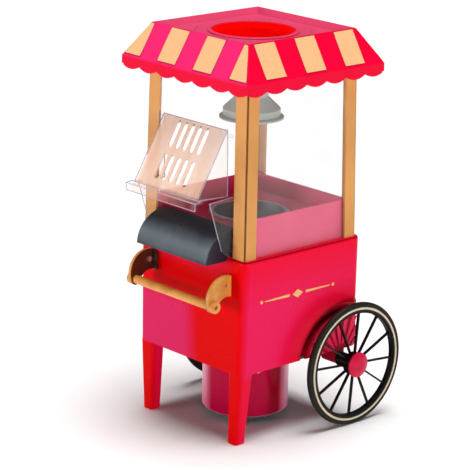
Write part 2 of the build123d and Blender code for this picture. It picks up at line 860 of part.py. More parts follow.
def make_chute():
    """Rounded spout over the front of the cart, closed at its ends, hollow below."""
    long_r = CHUTE_CREST[0] - CHUTE_TIP
    high_r = CHUTE_CREST[1] - CHUTE_LOW
    with BuildPart() as chute:
        with BuildSketch(side(-CHUTE_HALF)):
            with BuildLine():
                EllipticalCenterArc(
                    (CHUTE_CREST[0], CHUTE_LOW), long_r, high_r,
                    start_angle=90, arc_size=90,
                )
                Polyline(
                    CHUTE_CREST,
                    (CHUTE_TAIL, HOPPER_FLOOR + 3.0),
                    (CHUTE_TAIL, HOPPER_FLOOR),
                    (-67.0, HOPPER_FLOOR),
                    (-77.4, DECK + 0.2),
                    (-77.4, CHUTE_LOW),
                    (CHUTE_TIP, CHUTE_LOW),
                )
            make_face()
        extrude(amount=2 * CHUTE_HALF)
        # the hollow under the spout, between its end walls
        with BuildSketch(side(-CHUTE_HALF + CHUTE_WALL)):
            with BuildLine():
                EllipticalCenterArc(
                    (CHUTE_CREST[0], CHUTE_LOW), long_r - CHUTE_WALL, high_r - CHUTE_WALL,
                    start_angle=HOLLOW_START, arc_size=180 - HOLLOW_START,
                )
                start = radians(HOLLOW_START)
                Polyline(
                    (CHUTE_TIP + CHUTE_WALL, CHUTE_LOW),
                    (-77.4, CHUTE_LOW),
                    (
                        CHUTE_CREST[0] + (long_r - CHUTE_WALL) * cos(start),
                        CHUTE_LOW + (high_r - CHUTE_WALL) * sin(start),
                    ),
                )
            make_face()
        extrude(amount=2 * (CHUTE_HALF - CHUTE_WALL), mode=Mode.SUBTRACT)
        rims = chute.faces().filter_by(Axis.X).group_by(Axis.X)
        edges = rims[-1].edges() + rims[0].edges()
        fillet(edges.filter_by(GeomType.ELLIPSE).sort_by(Axis.Z)[-2:], radius=1.2)
    return chute


GUARD_IN = CHUTE_HALF + 0.2
GUARD_THICK = 1.6


def make_spill_guards():
    """Clear wings beside the chute; they stand on the deck against the front posts."""
    with BuildPart() as guards:
        for start in (-GUARD_IN - GUARD_THICK, GUARD_IN):
            with BuildSketch(side(start)):
                with BuildLine():
                    Polyline(
                        (-71.2, DECK),
                        (-75.0, DECK),
                        (-78.0, DECK + 2.0),
                        (-84.5, 196.0),
                        (-101.0, 246.0),
                        (-71.2, 248.0),
                        close=True,
                    )
                make_face()
            extrude(amount=GUARD_THICK)
    return guards


# ---------------------------------------------------------------- serving hood
HOOD_TOP = (-74.0, 313.0)
HOOD_FOOT = (-111.0, 249.5)
LIP_DROP = 8.5
LIP_HALF = 51.5
HOOD_WALL = 2.0
SLOT_PITCH = 10.3
SLOT_WIDTH = 6.6
SLOT_LENGTH = 26.6
SLOT_ROWS = (17.6, 51.3)


def hood_panel_plane():
    """Plane of the hood's sloping front: origin at its top edge, y runs up."""
    run, drop = HOOD_FOOT[0] - HOOD_TOP[0], HOOD_FOOT[1] - HOOD_TOP[1]
    length = sqrt(run * run + drop * drop)
    return Plane(
        origin=(0, CASE_Y + HOOD_TOP[0], HOOD_TOP[1]),
        x_dir=(1, 0, 0),
        z_dir=(0, drop / length, -run / length),
    )


def make_hood():
    """Clear serving hood: slotted slope, cheeks, ledge and lip, two stub pins."""
    inner_half = HOOD_HALF - HOOD_WALL
    with BuildPart() as hood:
        with BuildSketch(side(-HOOD_HALF)):
            with BuildLine():
                Polyline(
                    HOOD_TOP,
                    HOOD_FOOT,
                    (-HOOD_REACH, HOOD_FOOT[1] - 1.0),
                    (-HOOD_REACH, HOOD_FOOT[1] - LIP_DROP),
                    (-HOOD_REACH + HOOD_WALL, HOOD_FOOT[1] - LIP_DROP),
                    (-HOOD_REACH + HOOD_WALL, HOOD_FOOT[1] - 1.0 - HOOD_WALL),
                    (-108.0, HOOD_FOOT[1] - HOOD_WALL),
                    (-72.2, HOOD_FOOT[1] - HOOD_WALL),
                    (-72.2, HOOD_TOP[1]),
                    close=True,
                )
            make_face()
        extrude(amount=2 * HOOD_HALF)
        with BuildSketch(side(-inner_half)):
            with BuildLine():
                Polyline(
                    (HOOD_TOP[0] + 2.3, HOOD_TOP[1] + 1.0),
                    (HOOD_FOOT[0] + 2.3, HOOD_FOOT[1]),
                    (HOOD_FOOT[0] + 2.3, HOOD_FOOT[1] - HOOD_WALL - 1.0),
                    (-70.0, HOOD_FOOT[1] - HOOD_WALL - 1.0),
                    (-70.0, HOOD_TOP[1] + 1.0),
                    close=True,
                )
            make_face()
        extrude(amount=2 * inner_half, mode=Mode.SUBTRACT)
        with BuildSketch(side(-LIP_HALF)):
            with BuildLine():
                Polyline(
                    (HOOD_FOOT[0], HOOD_FOOT[1] - 0.2),
                    (-HOOD_REACH, HOOD_FOOT[1] - 1.0),
                    (-HOOD_REACH, HOOD_FOOT[1] - LIP_DROP),
                    (-HOOD_REACH + HOOD_WALL, HOOD_FOOT[1] - LIP_DROP),
                    (-HOOD_REACH + HOOD_WALL, HOOD_FOOT[1] - 1.0 - HOOD_WALL),
                    (-108.0, HOOD_FOOT[1] - HOOD_WALL),
                    (-108.0, HOOD_FOOT[1] - 0.2),
                    close=True,
                )
            make_face()
        extrude(amount=2 * LIP_HALF)
        with BuildSketch(hood_panel_plane()):
            for distance in SLOT_ROWS:
                with Locations((0, -distance)):
                    with GridLocations(SLOT_PITCH, 0, 5, 1):
                        SlotOverall(SLOT_LENGTH, SLOT_WIDTH, rotation=90)
        extrude(amount=6.0, both=True, mode=Mode.SUBTRACT)
        for start in (-EAR[1], HOOD_HALF - 1.0):
            with BuildSketch(side(start)):
                with Locations(HOOD_PIN):
                    Circle(HOOD_PIN_R)
            extrude(amount=EAR[1] - HOOD_HALF + 1.0)
    return hood


# ---------------------------------------------------------------- handle
PLATE_IN = 56.0
PLATE_OUT = 60.0
ROOT_Y = -77.1
BOSS_REACH = 6.0
BAR_R = 4.5
SCREW_SPOT = (-84.0, 163.0)


def make_handle_bracket(hand):
    """Arched plate that carries one end of the handle, with a foot on the body."""
    with BuildPart() as bracket:
        with BuildSketch(side(min(hand * PLATE_IN, hand * PLATE_OUT))):
            with BuildLine():
                front_of_boss = (HANDLE_Y - BOSS_REACH, HANDLE_Z)
                back_of_boss = (HANDLE_Y + BOSS_REACH, HANDLE_Z)
                below_boss = (HANDLE_Y, HANDLE_Z - BOSS_REACH)
                ThreePointArc((ROOT_Y, 172.0), (-98.8, 168.0), front_of_boss)
                ThreePointArc(front_of_boss, below_boss, back_of_boss)
                ThreePointArc(back_of_boss, (-89.0, 149.8), (ROOT_Y, 151.0))
                Line((ROOT_Y, 151.0), (ROOT_Y, 172.0))
            make_face()
            with Locations((HANDLE_Y, HANDLE_Z)):
                Circle(BAR_R, mode=Mode.SUBTRACT)
            with Locations(SCREW_SPOT):
                Circle(SCREW_R, mode=Mode.SUBTRACT)
        extrude(amount=PLATE_OUT - PLATE_IN)
        with BuildSketch(front(ROOT_Y)):
            with Locations((hand * (PLATE_IN - 1.5), 161.5)):
                RectangleRounded(11.0, 19.0, 1.5)
        extrude(amount=2.5)
    return bracket


def make_handle_bar():
    """Handle bar through both brackets, with a recess in each end."""
    length = 2 * 64.0
    with BuildPart() as bar:
        with BuildSketch(side(-length / 2)):
            with Locations((HANDLE_Y, HANDLE_Z)):
                Circle(BAR_R)
        extrude(amount=length)
        for hand in (-1, 1):
            with BuildSketch(side(hand * length / 2)):
                with Locations((HANDLE_Y, HANDLE_Z)):
                    Circle(BAR_R + 1.3)
                    Circle(BAR_R, mode=Mode.SUBTRACT)
            extrude(amount=-hand * 3.8)
            with BuildSketch(side(hand * length / 2)):
                with Locations((HANDLE_Y, HANDLE_Z)):
                    Circle(2.2)
            extrude(amount=-hand * 3.0, mode=Mode.SUBTRACT)
    return bar


def make_handle_screws():
    """Pan-head screws on the inner face of each bracket."""
    with BuildPart() as screws:
        for hand in (-1, 1):
            with BuildSketch(side(hand * PLATE_IN)):
                with Locations(SCREW_SPOT):
                    Circle(3.0)
            extrude(amount=-hand * 2.0)
            with BuildSketch(side(hand * PLATE_IN)):
                with Locations(SCREW_SPOT):
                    Circle(SCREW_R)
            extrude(amount=hand * (PLATE_OUT - PLATE_IN))
            with BuildSketch(side(hand * (PLATE_IN - 2.0))):
                with Locations(SCREW_SPOT):
                    Rectangle(4.0, 0.8)
                    Rectangle(0.8, 4.0)
            extrude(amount=hand * 0.9, mode=Mode.SUBTRACT)
    return screws


# ---------------------------------------------------------------- canopy
SLOPE_RUN = EAVE_HALF - RIM_HALF
SLOPE_RISE = HEIGHT - EAVE_Z
SLOPE_LENGTH = sqrt(SLOPE_RUN**2 + SLOPE_RISE**2)
ROOF_WALL = 2.2
TRAY_FLOOR = 394.0
TRAY_LOW = 391.5
VENT_R = 0.9
CUP_LEDGE_R = 39.5


def roof_half(z):
    """Outer half size of the sloping roof at height z."""
    return EAVE_HALF - SLOPE_RUN * (z - EAVE_Z) / SLOPE_RISE


def scallop_cutter(plane, depth):
    """Solid under a scalloped edge, to trim one side of the valance."""
    pitch = 2 * EAVE_HALF / STRIPES
    with BuildPart() as cutter:
        with BuildSketch(plane):
            with BuildLine():
                cusp = VALANCE_LOW + SCALLOP_DEPTH
                for k in range(STRIPES):
                    left = -EAVE_HALF + k * pitch
                    ThreePointArc(
                        (left, cusp), (left + pitch / 2, VALANCE_LOW), (left + pitch, cusp)
                    )
                below = VALANCE_LOW - 3.0
                Polyline(
                    (EAVE_HALF, cusp), (EAVE_HALF, below), (-EAVE_HALF, below),
                    (-EAVE_HALF, cusp),
                )
            make_face()
        extrude(amount=-depth)
    return cutter.part


def quarter_turn(solid, turn):
    """Solid turned about the upright axis of the case."""
    return solid.rotate(Axis((0, CASE_Y, 0), (0, 0, 1)), 90.0 * turn)


def make_canopy():
    """Roof moulding: slopes, scalloped valance, recessed top with a round opening."""
    inner_low = roof_half(EAVE_Z) - ROOF_WALL
    inner_high = roof_half(TRAY_LOW) - ROOF_WALL - 0.4
    cutter = scallop_cutter(front(-EAVE_HALF - 0.5), ROOF_WALL + 1.0)
    with BuildPart() as canopy:
        with BuildSketch(level(EAVE_Z)):
            Rectangle(2 * EAVE_HALF, 2 * EAVE_HALF)
        with BuildSketch(level(HEIGHT)):
            Rectangle(2 * RIM_HALF, 2 * RIM_HALF)
        loft()
        with BuildSketch(level(VALANCE_LOW)):
            Rectangle(2 * EAVE_HALF, 2 * EAVE_HALF)
        extrude(amount=EAVE_Z - VALANCE_LOW)
        with BuildSketch(level(VALANCE_LOW - 1.0)):
            Rectangle(2 * inner_low, 2 * inner_low)
        extrude(amount=EAVE_Z - VALANCE_LOW + 1.0, mode=Mode.SUBTRACT)
        with BuildSketch(level(EAVE_Z)):
            Rectangle(2 * inner_low, 2 * inner_low)
        with BuildSketch(level(TRAY_LOW)):
            Rectangle(2 * inner_high, 2 * inner_high)
        loft(mode=Mode.SUBTRACT)
        # recessed top
        with BuildSketch(level(TRAY_FLOOR)):
            Rectangle(2 * 64.0, 2 * 64.0)
        with BuildSketch(level(HEIGHT)):
            Rectangle(2 * (RIM_HALF - 1.6), 2 * (RIM_HALF - 1.6))
        loft(mode=Mode.SUBTRACT)
        # collar round the opening, with a ledge for the measuring cup
        with BuildSketch(level(TRAY_LOW - 3.5)):
            Circle(OPENING_R + 4.0)
        extrude(amount=395.6 - TRAY_LOW + 3.5)
        fillet(canopy.edges().filter_by(GeomType.CIRCLE).sort_by(Axis.Z)[-1], radius=1.0)
        with BuildSketch(level(TRAY_LOW - 4.0)):
            Circle(CUP_LEDGE_R)
        extrude(amount=20.0, mode=Mode.SUBTRACT)
        with BuildSketch(level(TRAY_LOW - 1.0)):
            Circle(OPENING_R)
        extrude(amount=20.0, mode=Mode.SUBTRACT)
        # vent holes in an arc at each corner of the top
        with BuildSketch(level(TRAY_LOW - 1.0)):
            for corner in range(4):
                with PolarLocations(57.5, 5, 45.0 + 90.0 * corner - 14.0, 28.0,
                                    endpoint=True):
                    Circle(VENT_R)
        extrude(amount=6.0, mode=Mode.SUBTRACT)
        # feet inside the corners that stand on the top frame
        with BuildSketch(level(CASE_TOP + 4.0)):
            with GridLocations(2 * 67.0, 2 * 67.0, 2, 2):
                Rectangle(9.0, 9.0)
        extrude(amount=TRAY_LOW - CASE_TOP - 4.0)
        for turn in range(4):
            add(quarter_turn(cutter, turn), mode=Mode.SUBTRACT)
    return canopy


def stripe_outline(number):
    """Corners of stripe number on a slope: (along the eave, up the slope)."""
    pitch = 2 * EAVE_HALF / STRIPES
    left, right = -EAVE_HALF + number * pitch, -EAVE_HALF + (number + 1) * pitch
    low, high = 3.0, SLOPE_LENGTH - 0.9
    lean = SLOPE_RUN / SLOPE_LENGTH
    inset = 0.7

    def inside(u, v):
        limit = EAVE_HALF - lean * v - inset
        return max(-limit, min(limit, u)), v

    return [inside(left, low), inside(right, low), inside(right, high), inside(left, high)]


def slope_plane():
    """Plane of the roof's front slope: origin at mid eave, y runs up the slope."""
    return Plane(
        origin=(0, CASE_Y - EAVE_HALF, EAVE_Z),
        x_dir=(1, 0, 0),
        z_dir=(0, -SLOPE_RISE / SLOPE_LENGTH, SLOPE_RUN / SLOPE_LENGTH),
    )


def make_roof_stripes():
    """Cream panels on the slopes: four on front and back, three on the sides."""
    pieces = []
    for numbers, turns in (((0, 2, 4, 6), (0, 2)), ((1, 3, 5), (1, 3))):
        for number in numbers:
            with BuildPart() as stripe:
                with BuildSketch(slope_plane()):
                    Polygon(*stripe_outline(number), align=None)
                extrude(amount=0.5)
            pieces += [quarter_turn(stripe.part, turn) for turn in turns]
    with BuildPart() as stripes:
        add(pieces)
    return stripes


def make_cup():
    """Red measuring cup that hangs in the roof opening by its rim."""
    top, low = 395.0, 367.0
    with BuildPart() as cup:
        with BuildSketch(Plane(origin=(0, CASE_Y, 0), x_dir=(1, 0, 0), z_dir=(0, -1, 0))):
            with BuildLine():
                Polyline(
                    (0, low), (30.0, low), (34.0, low + 3.0), (38.4, TRAY_LOW - 1.0),
                    (41.5, TRAY_LOW - 1.0), (41.5, top), (39.9, top),
                    (36.9, TRAY_LOW - 2.0), (32.4, low + 4.2), (29.2, low + 1.8),
                    (0, low + 1.8), close=True,
                )
            make_face()
        revolve(axis=Axis((0, CASE_Y, 0), (0, 0, 1)))
    return cup


def make_kettle():
    """Grey kettle-shaped deflector and feed funnel, hung under the roof."""
    roof = TRAY_LOW - 3.5
    with BuildPart() as kettle:
        with BuildSketch(Plane(origin=(0, CASE_Y, 0), x_dir=(1, 0, 0), z_dir=(0, -1, 0))):
            with BuildLine():
                Polyline(
                    (32.3, 307.3), (32.3, 309.0), (28.8, 310.6), (28.8, 317.0),
                    (16.3, 329.0), (16.3, 335.6), (43.6, 361.4), (43.6, roof - 2.0),
                    (45.9, roof - 2.0), (45.9, roof), (41.8, roof), (41.8, 362.2),
                    (14.5, 336.4), (14.5, 328.2), (27.0, 316.2), (27.0, 309.6),
                    (30.9, 307.3), close=True,
                )
            make_face()
        revolve(axis=Axis((0, CASE_Y, 0), (0, 0, 1)))
    return kettle


# ---------------------------------------------------------------- side ornament
ORNAMENT_Y = -5.0
ORNAMENT_Z = 144.5


def make_ornament():
    """Gold flourish on each flank: a lozenge between tapered bars and dots."""
    with BuildPart() as ornament:
        for hand in (-1, 1):
            with BuildSketch(flank(hand, ORNAMENT_Z)):
                with Locations((hand * ORNAMENT_Y, 0)):
                    Polygon((-7.0, 0), (0, -4.2), (7.0, 0), (0, 4.2), align=None)
                    Polygon((11.0, 1.3), (44.0, 0.45), (44.0, -0.45), (11.0, -1.3), align=None)
                    Polygon(
                        (-11.0, 1.3), (-44.0, 0.45), (-44.0, -0.45), (-11.0, -1.3), align=None
                    )
                with Locations((hand * ORNAMENT_Y - 48.5, 0), (hand * ORNAMENT_Y + 48.5, 0)):
                    Circle(1.7)
            extrude(amount=0.5)
    return ornament


# ---------------------------------------------------------------- write every piece
def main():
    """Makes every piece and writes it to its own file."""
    single = {
        "cart_body": make_cart_body,
        "body_floor": make_floor,
        "floor_screws": make_floor_screws,
        "axle": make_axle,
        "base_shell": make_base_shell,
        "base_plate": make_base_plate,
        "rubber_feet": make_feet,
        "motor": make_motor,
        "motor_mount": make_motor_mount,
        "motor_shaft": make_shaft,
        "fan": make_fan,
        "air_duct": make_air_duct,
        "mica_frame": make_mica_frame,
        "heating_coil": make_coil,
        "thermal_fuse": make_thermal_fuse,
        "thermostat": make_thermostat,
        "popping_chamber": make_chamber,
        "switch_frame": make_switch_frame,
        "switch_rocker": make_rocker,
        "lead_inlet": make_lead_inlet,
        "hopper": make_hopper,
        "rear_window": make_rear_window,
        "front_pane": make_front_pane,
        "top_frame": make_top_frame,
        "chute": make_chute,
        "spill_guards": make_spill_guards,
        "hood": make_hood,
        "handle_bar": make_handle_bar,
        "handle_screws": make_handle_screws,
        "canopy": make_canopy,
        "roof_stripes": make_roof_stripes,
        "measuring_cup": make_cup,
        "kettle": make_kettle,
        "side_ornaments": make_ornament,
    }
    for name, make in single.items():
        save(make(), name)
    paired = {
        "leg": make_leg,
        "axle_bracket": make_axle_bracket,
        "tyre": make_tyre,
        "pale_line": make_pale_line,
        "rim": make_rim,
        "hub_cap": make_hub_cap,
        "side_window": make_side_window,
        "handle_bracket": make_handle_bracket,
        "arch_ribs": make_arch_ribs,
    }
    for name, make in paired.items():
        save(make(-1), f"{name}_left")
        save(make(1), f"{name}_right")
    for end, hand_y in (("front", -1), ("rear", 1)):
        for flank, hand_x in (("left", -1), ("right", 1)):
            save(strip_post(hand_x, hand_y), f"post_{end}_{flank}")


main()
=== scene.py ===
# %% [markdown]
# # A popcorn cart, dressed for its portrait
# The shapes with a size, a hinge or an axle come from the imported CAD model. This notebook
# gives every one of them a finish, adds the small trim that a mould leaves or a printer
# puts on, and sets the cart on a pale floor under broad lamps.

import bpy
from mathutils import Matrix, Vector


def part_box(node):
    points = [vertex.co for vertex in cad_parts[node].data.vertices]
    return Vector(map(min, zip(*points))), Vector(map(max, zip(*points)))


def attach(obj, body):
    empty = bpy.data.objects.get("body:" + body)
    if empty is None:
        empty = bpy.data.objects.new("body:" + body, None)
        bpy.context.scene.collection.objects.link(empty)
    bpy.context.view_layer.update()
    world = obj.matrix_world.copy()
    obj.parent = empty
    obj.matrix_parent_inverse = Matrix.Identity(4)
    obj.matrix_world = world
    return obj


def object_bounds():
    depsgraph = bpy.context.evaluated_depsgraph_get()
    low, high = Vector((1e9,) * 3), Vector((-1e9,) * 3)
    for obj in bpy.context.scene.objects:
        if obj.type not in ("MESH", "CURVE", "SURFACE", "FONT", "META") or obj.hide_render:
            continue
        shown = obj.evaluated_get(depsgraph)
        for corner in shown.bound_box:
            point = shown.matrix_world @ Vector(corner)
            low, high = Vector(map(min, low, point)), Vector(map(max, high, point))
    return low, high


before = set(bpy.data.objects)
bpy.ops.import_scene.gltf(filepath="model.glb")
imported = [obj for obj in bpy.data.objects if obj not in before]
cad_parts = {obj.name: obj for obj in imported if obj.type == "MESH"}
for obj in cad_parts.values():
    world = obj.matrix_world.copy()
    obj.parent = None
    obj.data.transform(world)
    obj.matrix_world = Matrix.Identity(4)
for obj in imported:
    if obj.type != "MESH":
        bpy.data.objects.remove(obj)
cad_low, cad_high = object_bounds()

# %% Everything else that the notebook uses
import math

import bmesh
import bpy
import numpy as np
from mathutils import Matrix, Vector

MM = 0.001
middle = (cad_low + cad_high) / 2
print("size in mm:", [round(side / MM, 1) for side in cad_high - cad_low])

# %% [markdown]
# ## Places on the cart
# Levels and half widths of the CAD model, in millimetres, that paints and trim line up
# with. Heights are above the table. The case and the roof are centred on `CASE_Y`. A
# pair for a post is its half width and half depth; a pair for the hood or a guard is how
# far a corner lies behind the centre, negative in front of it, and how high.

# %% Places
canopy_low, canopy_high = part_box("canopy")
CASE_Y = (canopy_low.y + canopy_high.y) / 2 / MM
EAVE_HALF, EAVE_Z = 91.5, 367.6
RIM_HALF, RIM_Z = 70.5, 401.6
TRAY_HALF = 69.0
POST_FOOT, POST_HEAD = (75.0, 74.2), (72.4, 71.9)
REAR_POST_BACK = 1.8
CASE_TOP = 354.6
DECK_Z, DECK_HALF, DECK_CORNER = 190.0, 78.9, 8.0
BODY_BACK = 2.3
BRACKET_INNER = 56.0
HOOD_HALF, LIP_HALF = 47.0, 51.5
HOOD_TOP, HOOD_FOOT, CHEEK_FOOT = (-74.0, 314.6), (-111.0, 251.1), (-72.4, 249.2)
LEDGE, LIP = (-118.0, 250.1), (-118.0, 242.8)
GUARD_X = 53.0
GUARD_LINE = [(-84.5, 197.6), (-101.0, 247.6), (-71.4, 249.6)]
BOTH_HANDS = (-1, 1)
print("case centred at y =", round(CASE_Y, 2), "mm")

# %% [markdown]
# ## Where the camera stands
# A long lens from far off keeps the cart's upright lines nearly parallel. The camera is
# given as one sets up a tripod: how far round, how high, how far off, and how much it
# leans. Blender wants a matrix, whose columns are the picture's right, its up, and back.

# %% Camera
ROUND = math.radians(47.165)
HEIGHT = math.radians(16.195)
LEAN = math.radians(1.355)
DISTANCE = 2.2576
LENS = 172.12
SIDE_SHIFT = -0.0294
AIM = Vector((0.0030, middle.y - 0.0049, 0.1881))

outward, raised = math.cos(HEIGHT), math.sin(HEIGHT)
back = Vector((math.sin(ROUND) * outward, -math.cos(ROUND) * outward, raised))
level_right = Vector((math.cos(ROUND), math.sin(ROUND), 0.0))
level_up = back.cross(level_right)
right = level_right * math.cos(LEAN) + level_up * math.sin(LEAN)
up = back.cross(right)
camera_data = bpy.data.cameras.new("camera")
camera_data.lens = LENS
camera_data.shift_x = SIDE_SHIFT
camera_data.clip_start, camera_data.clip_end = 0.05, 20.0
camera = bpy.data.objects.new("camera", camera_data)
turned = Matrix((right, up, back)).transposed().to_4x4()
camera.matrix_world = Matrix.Translation(AIM + back * DISTANCE) @ turned
bpy.context.scene.collection.objects.link(camera)
bpy.context.scene.camera = camera
bpy.context.scene.view_settings.view_transform = "Standard"
print("camera at", [round(v, 3) for v in camera.matrix_world.translation])

# %% [markdown]
# ## Shader sums written as Python
# A material is a web of nodes. `Wire` wraps one output socket and answers to Python's
# operators, so `1 - mask * 0.5` adds the two Math nodes that it needs. `Paint` holds one
# material, and its `node` method adds any other kind of node: settings first, because
# they can change the sockets, and then the values or links.

# %% Wire and Paint
class Wire:
    """One output socket of a shader node, usable in sums."""

    def __init__(self, paint, socket):
        self.paint = paint
        self.socket = socket

    def out(self, name):
        """Another output of the same node."""
        return Wire(self.paint, self.socket.node.outputs[name])

    def sum(self, operation, first, second):
        """A Math node that joins two values."""
        return self.paint.node("Math", {"operation": operation}, {0: first, 1: second})

    def __abs__(self):
        return self.paint.node("Math", {"operation": "ABSOLUTE"}, {0: self})

    def __add__(self, other):
        return self.sum("ADD", self, other)

    def __radd__(self, other):
        return self.sum("ADD", other, self)

    def __sub__(self, other):
        return self.sum("SUBTRACT", self, other)

    def __rsub__(self, other):
        return self.sum("SUBTRACT", other, self)

    def __mul__(self, other):
        return self.sum("MULTIPLY", self, other)

    def __rmul__(self, other):
        return self.sum("MULTIPLY", other, self)

    def __pow__(self, other):
        return self.sum("POWER", self, other)

    def __gt__(self, other):
        return self.sum("GREATER_THAN", self, other)

    def __lt__(self, other):
        return self.sum("LESS_THAN", self, other)


class Paint:
    """One node material while it is being mixed."""

    def __init__(self, name):
        self.material = bpy.data.materials.new(name)
        self.material.use_nodes = True
        self.tree = self.material.node_tree
        self.tree.nodes.clear()

    def node(self, kind, settings=None, sockets=None, output=0):
        """Adds one node of a kind: its settings, then its sockets' values or links."""
        made = self.tree.nodes.new("ShaderNode" + kind)
        for name, value in (settings or {}).items():
            setattr(made, name, value)
        for name, value in (sockets or {}).items():
            if isinstance(value, Wire):
                self.tree.links.new(value.socket, made.inputs[name])
            else:
                made.inputs[name].default_value = value
        return Wire(self, made.outputs[output])

    def place(self):
        """Where a point lies on the object, in metres."""
        return self.node("TexCoord", output="Object")

    def axes(self, where):
        """The x, y and z of a place."""
        first = self.node("SeparateXYZ", None, {0: where})
        return first, first.out("Y"), first.out("Z")

    def stretched(self, where, x, y, z):
        """The same place with each direction squeezed or drawn out."""
        return self.node("Mapping", None, {"Vector": where, "Scale": (x, y, z)})

    def noise(self, where, size_mm, detail=3.0):
        """Cloudy noise about 0.5 whose blotches are size_mm across."""
        sockets = {"Vector": where, "Scale": 1.0 / (size_mm * MM), "Detail": detail}
        return self.node("TexNoise", None, sockets)

    def clip(self, value, low, high):
        """0 below low, 1 above high, and a straight ramp between."""
        return self.node("MapRange", None, {"Value": value, "From Min": low, "From Max": high})

    def blend(self, share, first, second):
        """Colour between first and second."""
        return self.node("Mix", {"data_type": "RGBA"}, {0: share, 6: first, 7: second}, output=2)

    def bump(self, height, depth_mm):
        """Normal of a skin that rises by depth_mm where height is 1."""
        return self.node("Bump", None, {"Strength": 1.0, "Distance": depth_mm * MM, "Height": height})

    def skin(self, sockets):
        """An opaque surface with these values or links."""
        return self.node("BsdfPrincipled", None, sockets)

    def finish(self, shader):
        """Sends a shader to the surface and returns the material."""
        output = self.tree.nodes.new("ShaderNodeOutputMaterial")
        self.tree.links.new(shader.socket, output.inputs["Surface"])
        return self.material


def rgb(red, green, blue):
    """Opaque colour from linear light."""
    return (red, green, blue, 1.0)


print("Wire and Paint are ready")

# %% [markdown]
# ## Moulded plastic
# Most of the cart is injection-moulded. The melt leaves slow clouds of a slightly deeper
# tint, the polished mould leaves a skin with a very fine orange peel, and handling
# leaves faint scuffs that only show in the shine. Three sizes of noise do the three jobs.

# %% Moulded plastics
SCUFF_MM, PEEL_MM = 1.6, 0.9


def scuffed(paint, where, shine, spread):
    """Roughness about shine, varied by upright scuffs."""
    scuffs = paint.noise(paint.stretched(where, 1.0, 1.0, 0.3), SCUFF_MM, 4.0)
    return shine + spread * (scuffs - 0.5)


def orange_peel(paint, where, depth_mm):
    """Normal of a polished mould's fine orange peel."""
    return paint.bump(paint.noise(where, PEEL_MM, 2.0), depth_mm)


def moulded(name, tint, deep, shine, coat=0.0, gloss=0.5, cloud_mm=38.0):
    """Tint clouded with a deeper one, scuffs in the roughness, orange peel in the bump."""
    paint = Paint(name)
    where = paint.place()
    clouds = paint.clip(paint.noise(where, cloud_mm, 2.0), 0.3, 0.7)
    return paint.finish(paint.skin({
        "Base Color": paint.blend(clouds, deep, tint),
        "Roughness": scuffed(paint, where, shine, 0.12),
        "Specular IOR Level": gloss,
        "Coat Weight": coat,
        "Coat Roughness": 0.08,
        "Normal": orange_peel(paint, where, 0.004),
    }))


# Painted light: the arch ribs are the body's red, painted pinker as if lit.
ribs_lit_pink = moulded("ribs_lit_pink", rgb(0.74, 0.020, 0.090), rgb(0.66, 0.010, 0.060), 0.30, gloss=0.2)
hanger_red = moulded("hanger_red", rgb(0.42, 0.003, 0.030), rgb(0.34, 0.002, 0.020), 0.34, gloss=0.2)
cup_red = moulded("cup_red", rgb(1.0, 0.0005, 0.001), rgb(0.98, 0.0003, 0.001), 0.34, gloss=0.03)
# Painted reflection: the hopper and its frame are red, painted pinker as if hazed by the windows in
# front.
hopper_hazed_pink = moulded("hopper_hazed_pink", rgb(0.78, 0.050, 0.17), rgb(0.72, 0.038, 0.14), 0.30, gloss=0.3)
hub_pink = moulded(
    "hub_pink", rgb(0.62, 0.006, 0.062), rgb(0.50, 0.004, 0.035), 0.34, gloss=0.15, cloud_mm=7.0
)
post_gold = moulded("post_gold", rgb(0.70, 0.32, 0.088), rgb(0.62, 0.27, 0.066), 0.36, gloss=0.25)
handle_gold = moulded("handle_gold", rgb(0.74, 0.32, 0.06), rgb(0.56, 0.21, 0.035), 0.26, cloud_mm=14.0)
kettle_grey = moulded("kettle_grey", rgb(0.37, 0.445, 0.395), rgb(0.34, 0.410, 0.365), 0.5, gloss=0.3)
spoke_black = moulded("spoke_black", rgb(0.003, 0.003, 0.004), rgb(0.002, 0.002, 0.002), 0.40, gloss=0.12)
duct_black = moulded("duct_black", rgb(0.03, 0.03, 0.033), rgb(0.018, 0.018, 0.02), 0.5)
floor_grey = moulded("floor_grey", rgb(0.09, 0.09, 0.10), rgb(0.06, 0.06, 0.065), 0.55)
rocker_red = moulded(
    "rocker_red", rgb(0.62, 0.010, 0.018), rgb(0.5, 0.006, 0.012), 0.22, coat=0.4, cloud_mm=6.0
)
line_cream = moulded(
    "line_cream", rgb(0.74, 0.63, 0.47), rgb(0.64, 0.52, 0.36), 0.45, gloss=0.2, cloud_mm=9.0
)
ceramic_white = moulded("ceramic_white", rgb(0.86, 0.84, 0.78), rgb(0.76, 0.73, 0.66), 0.4)
print("materials so far:", len(bpy.data.materials))
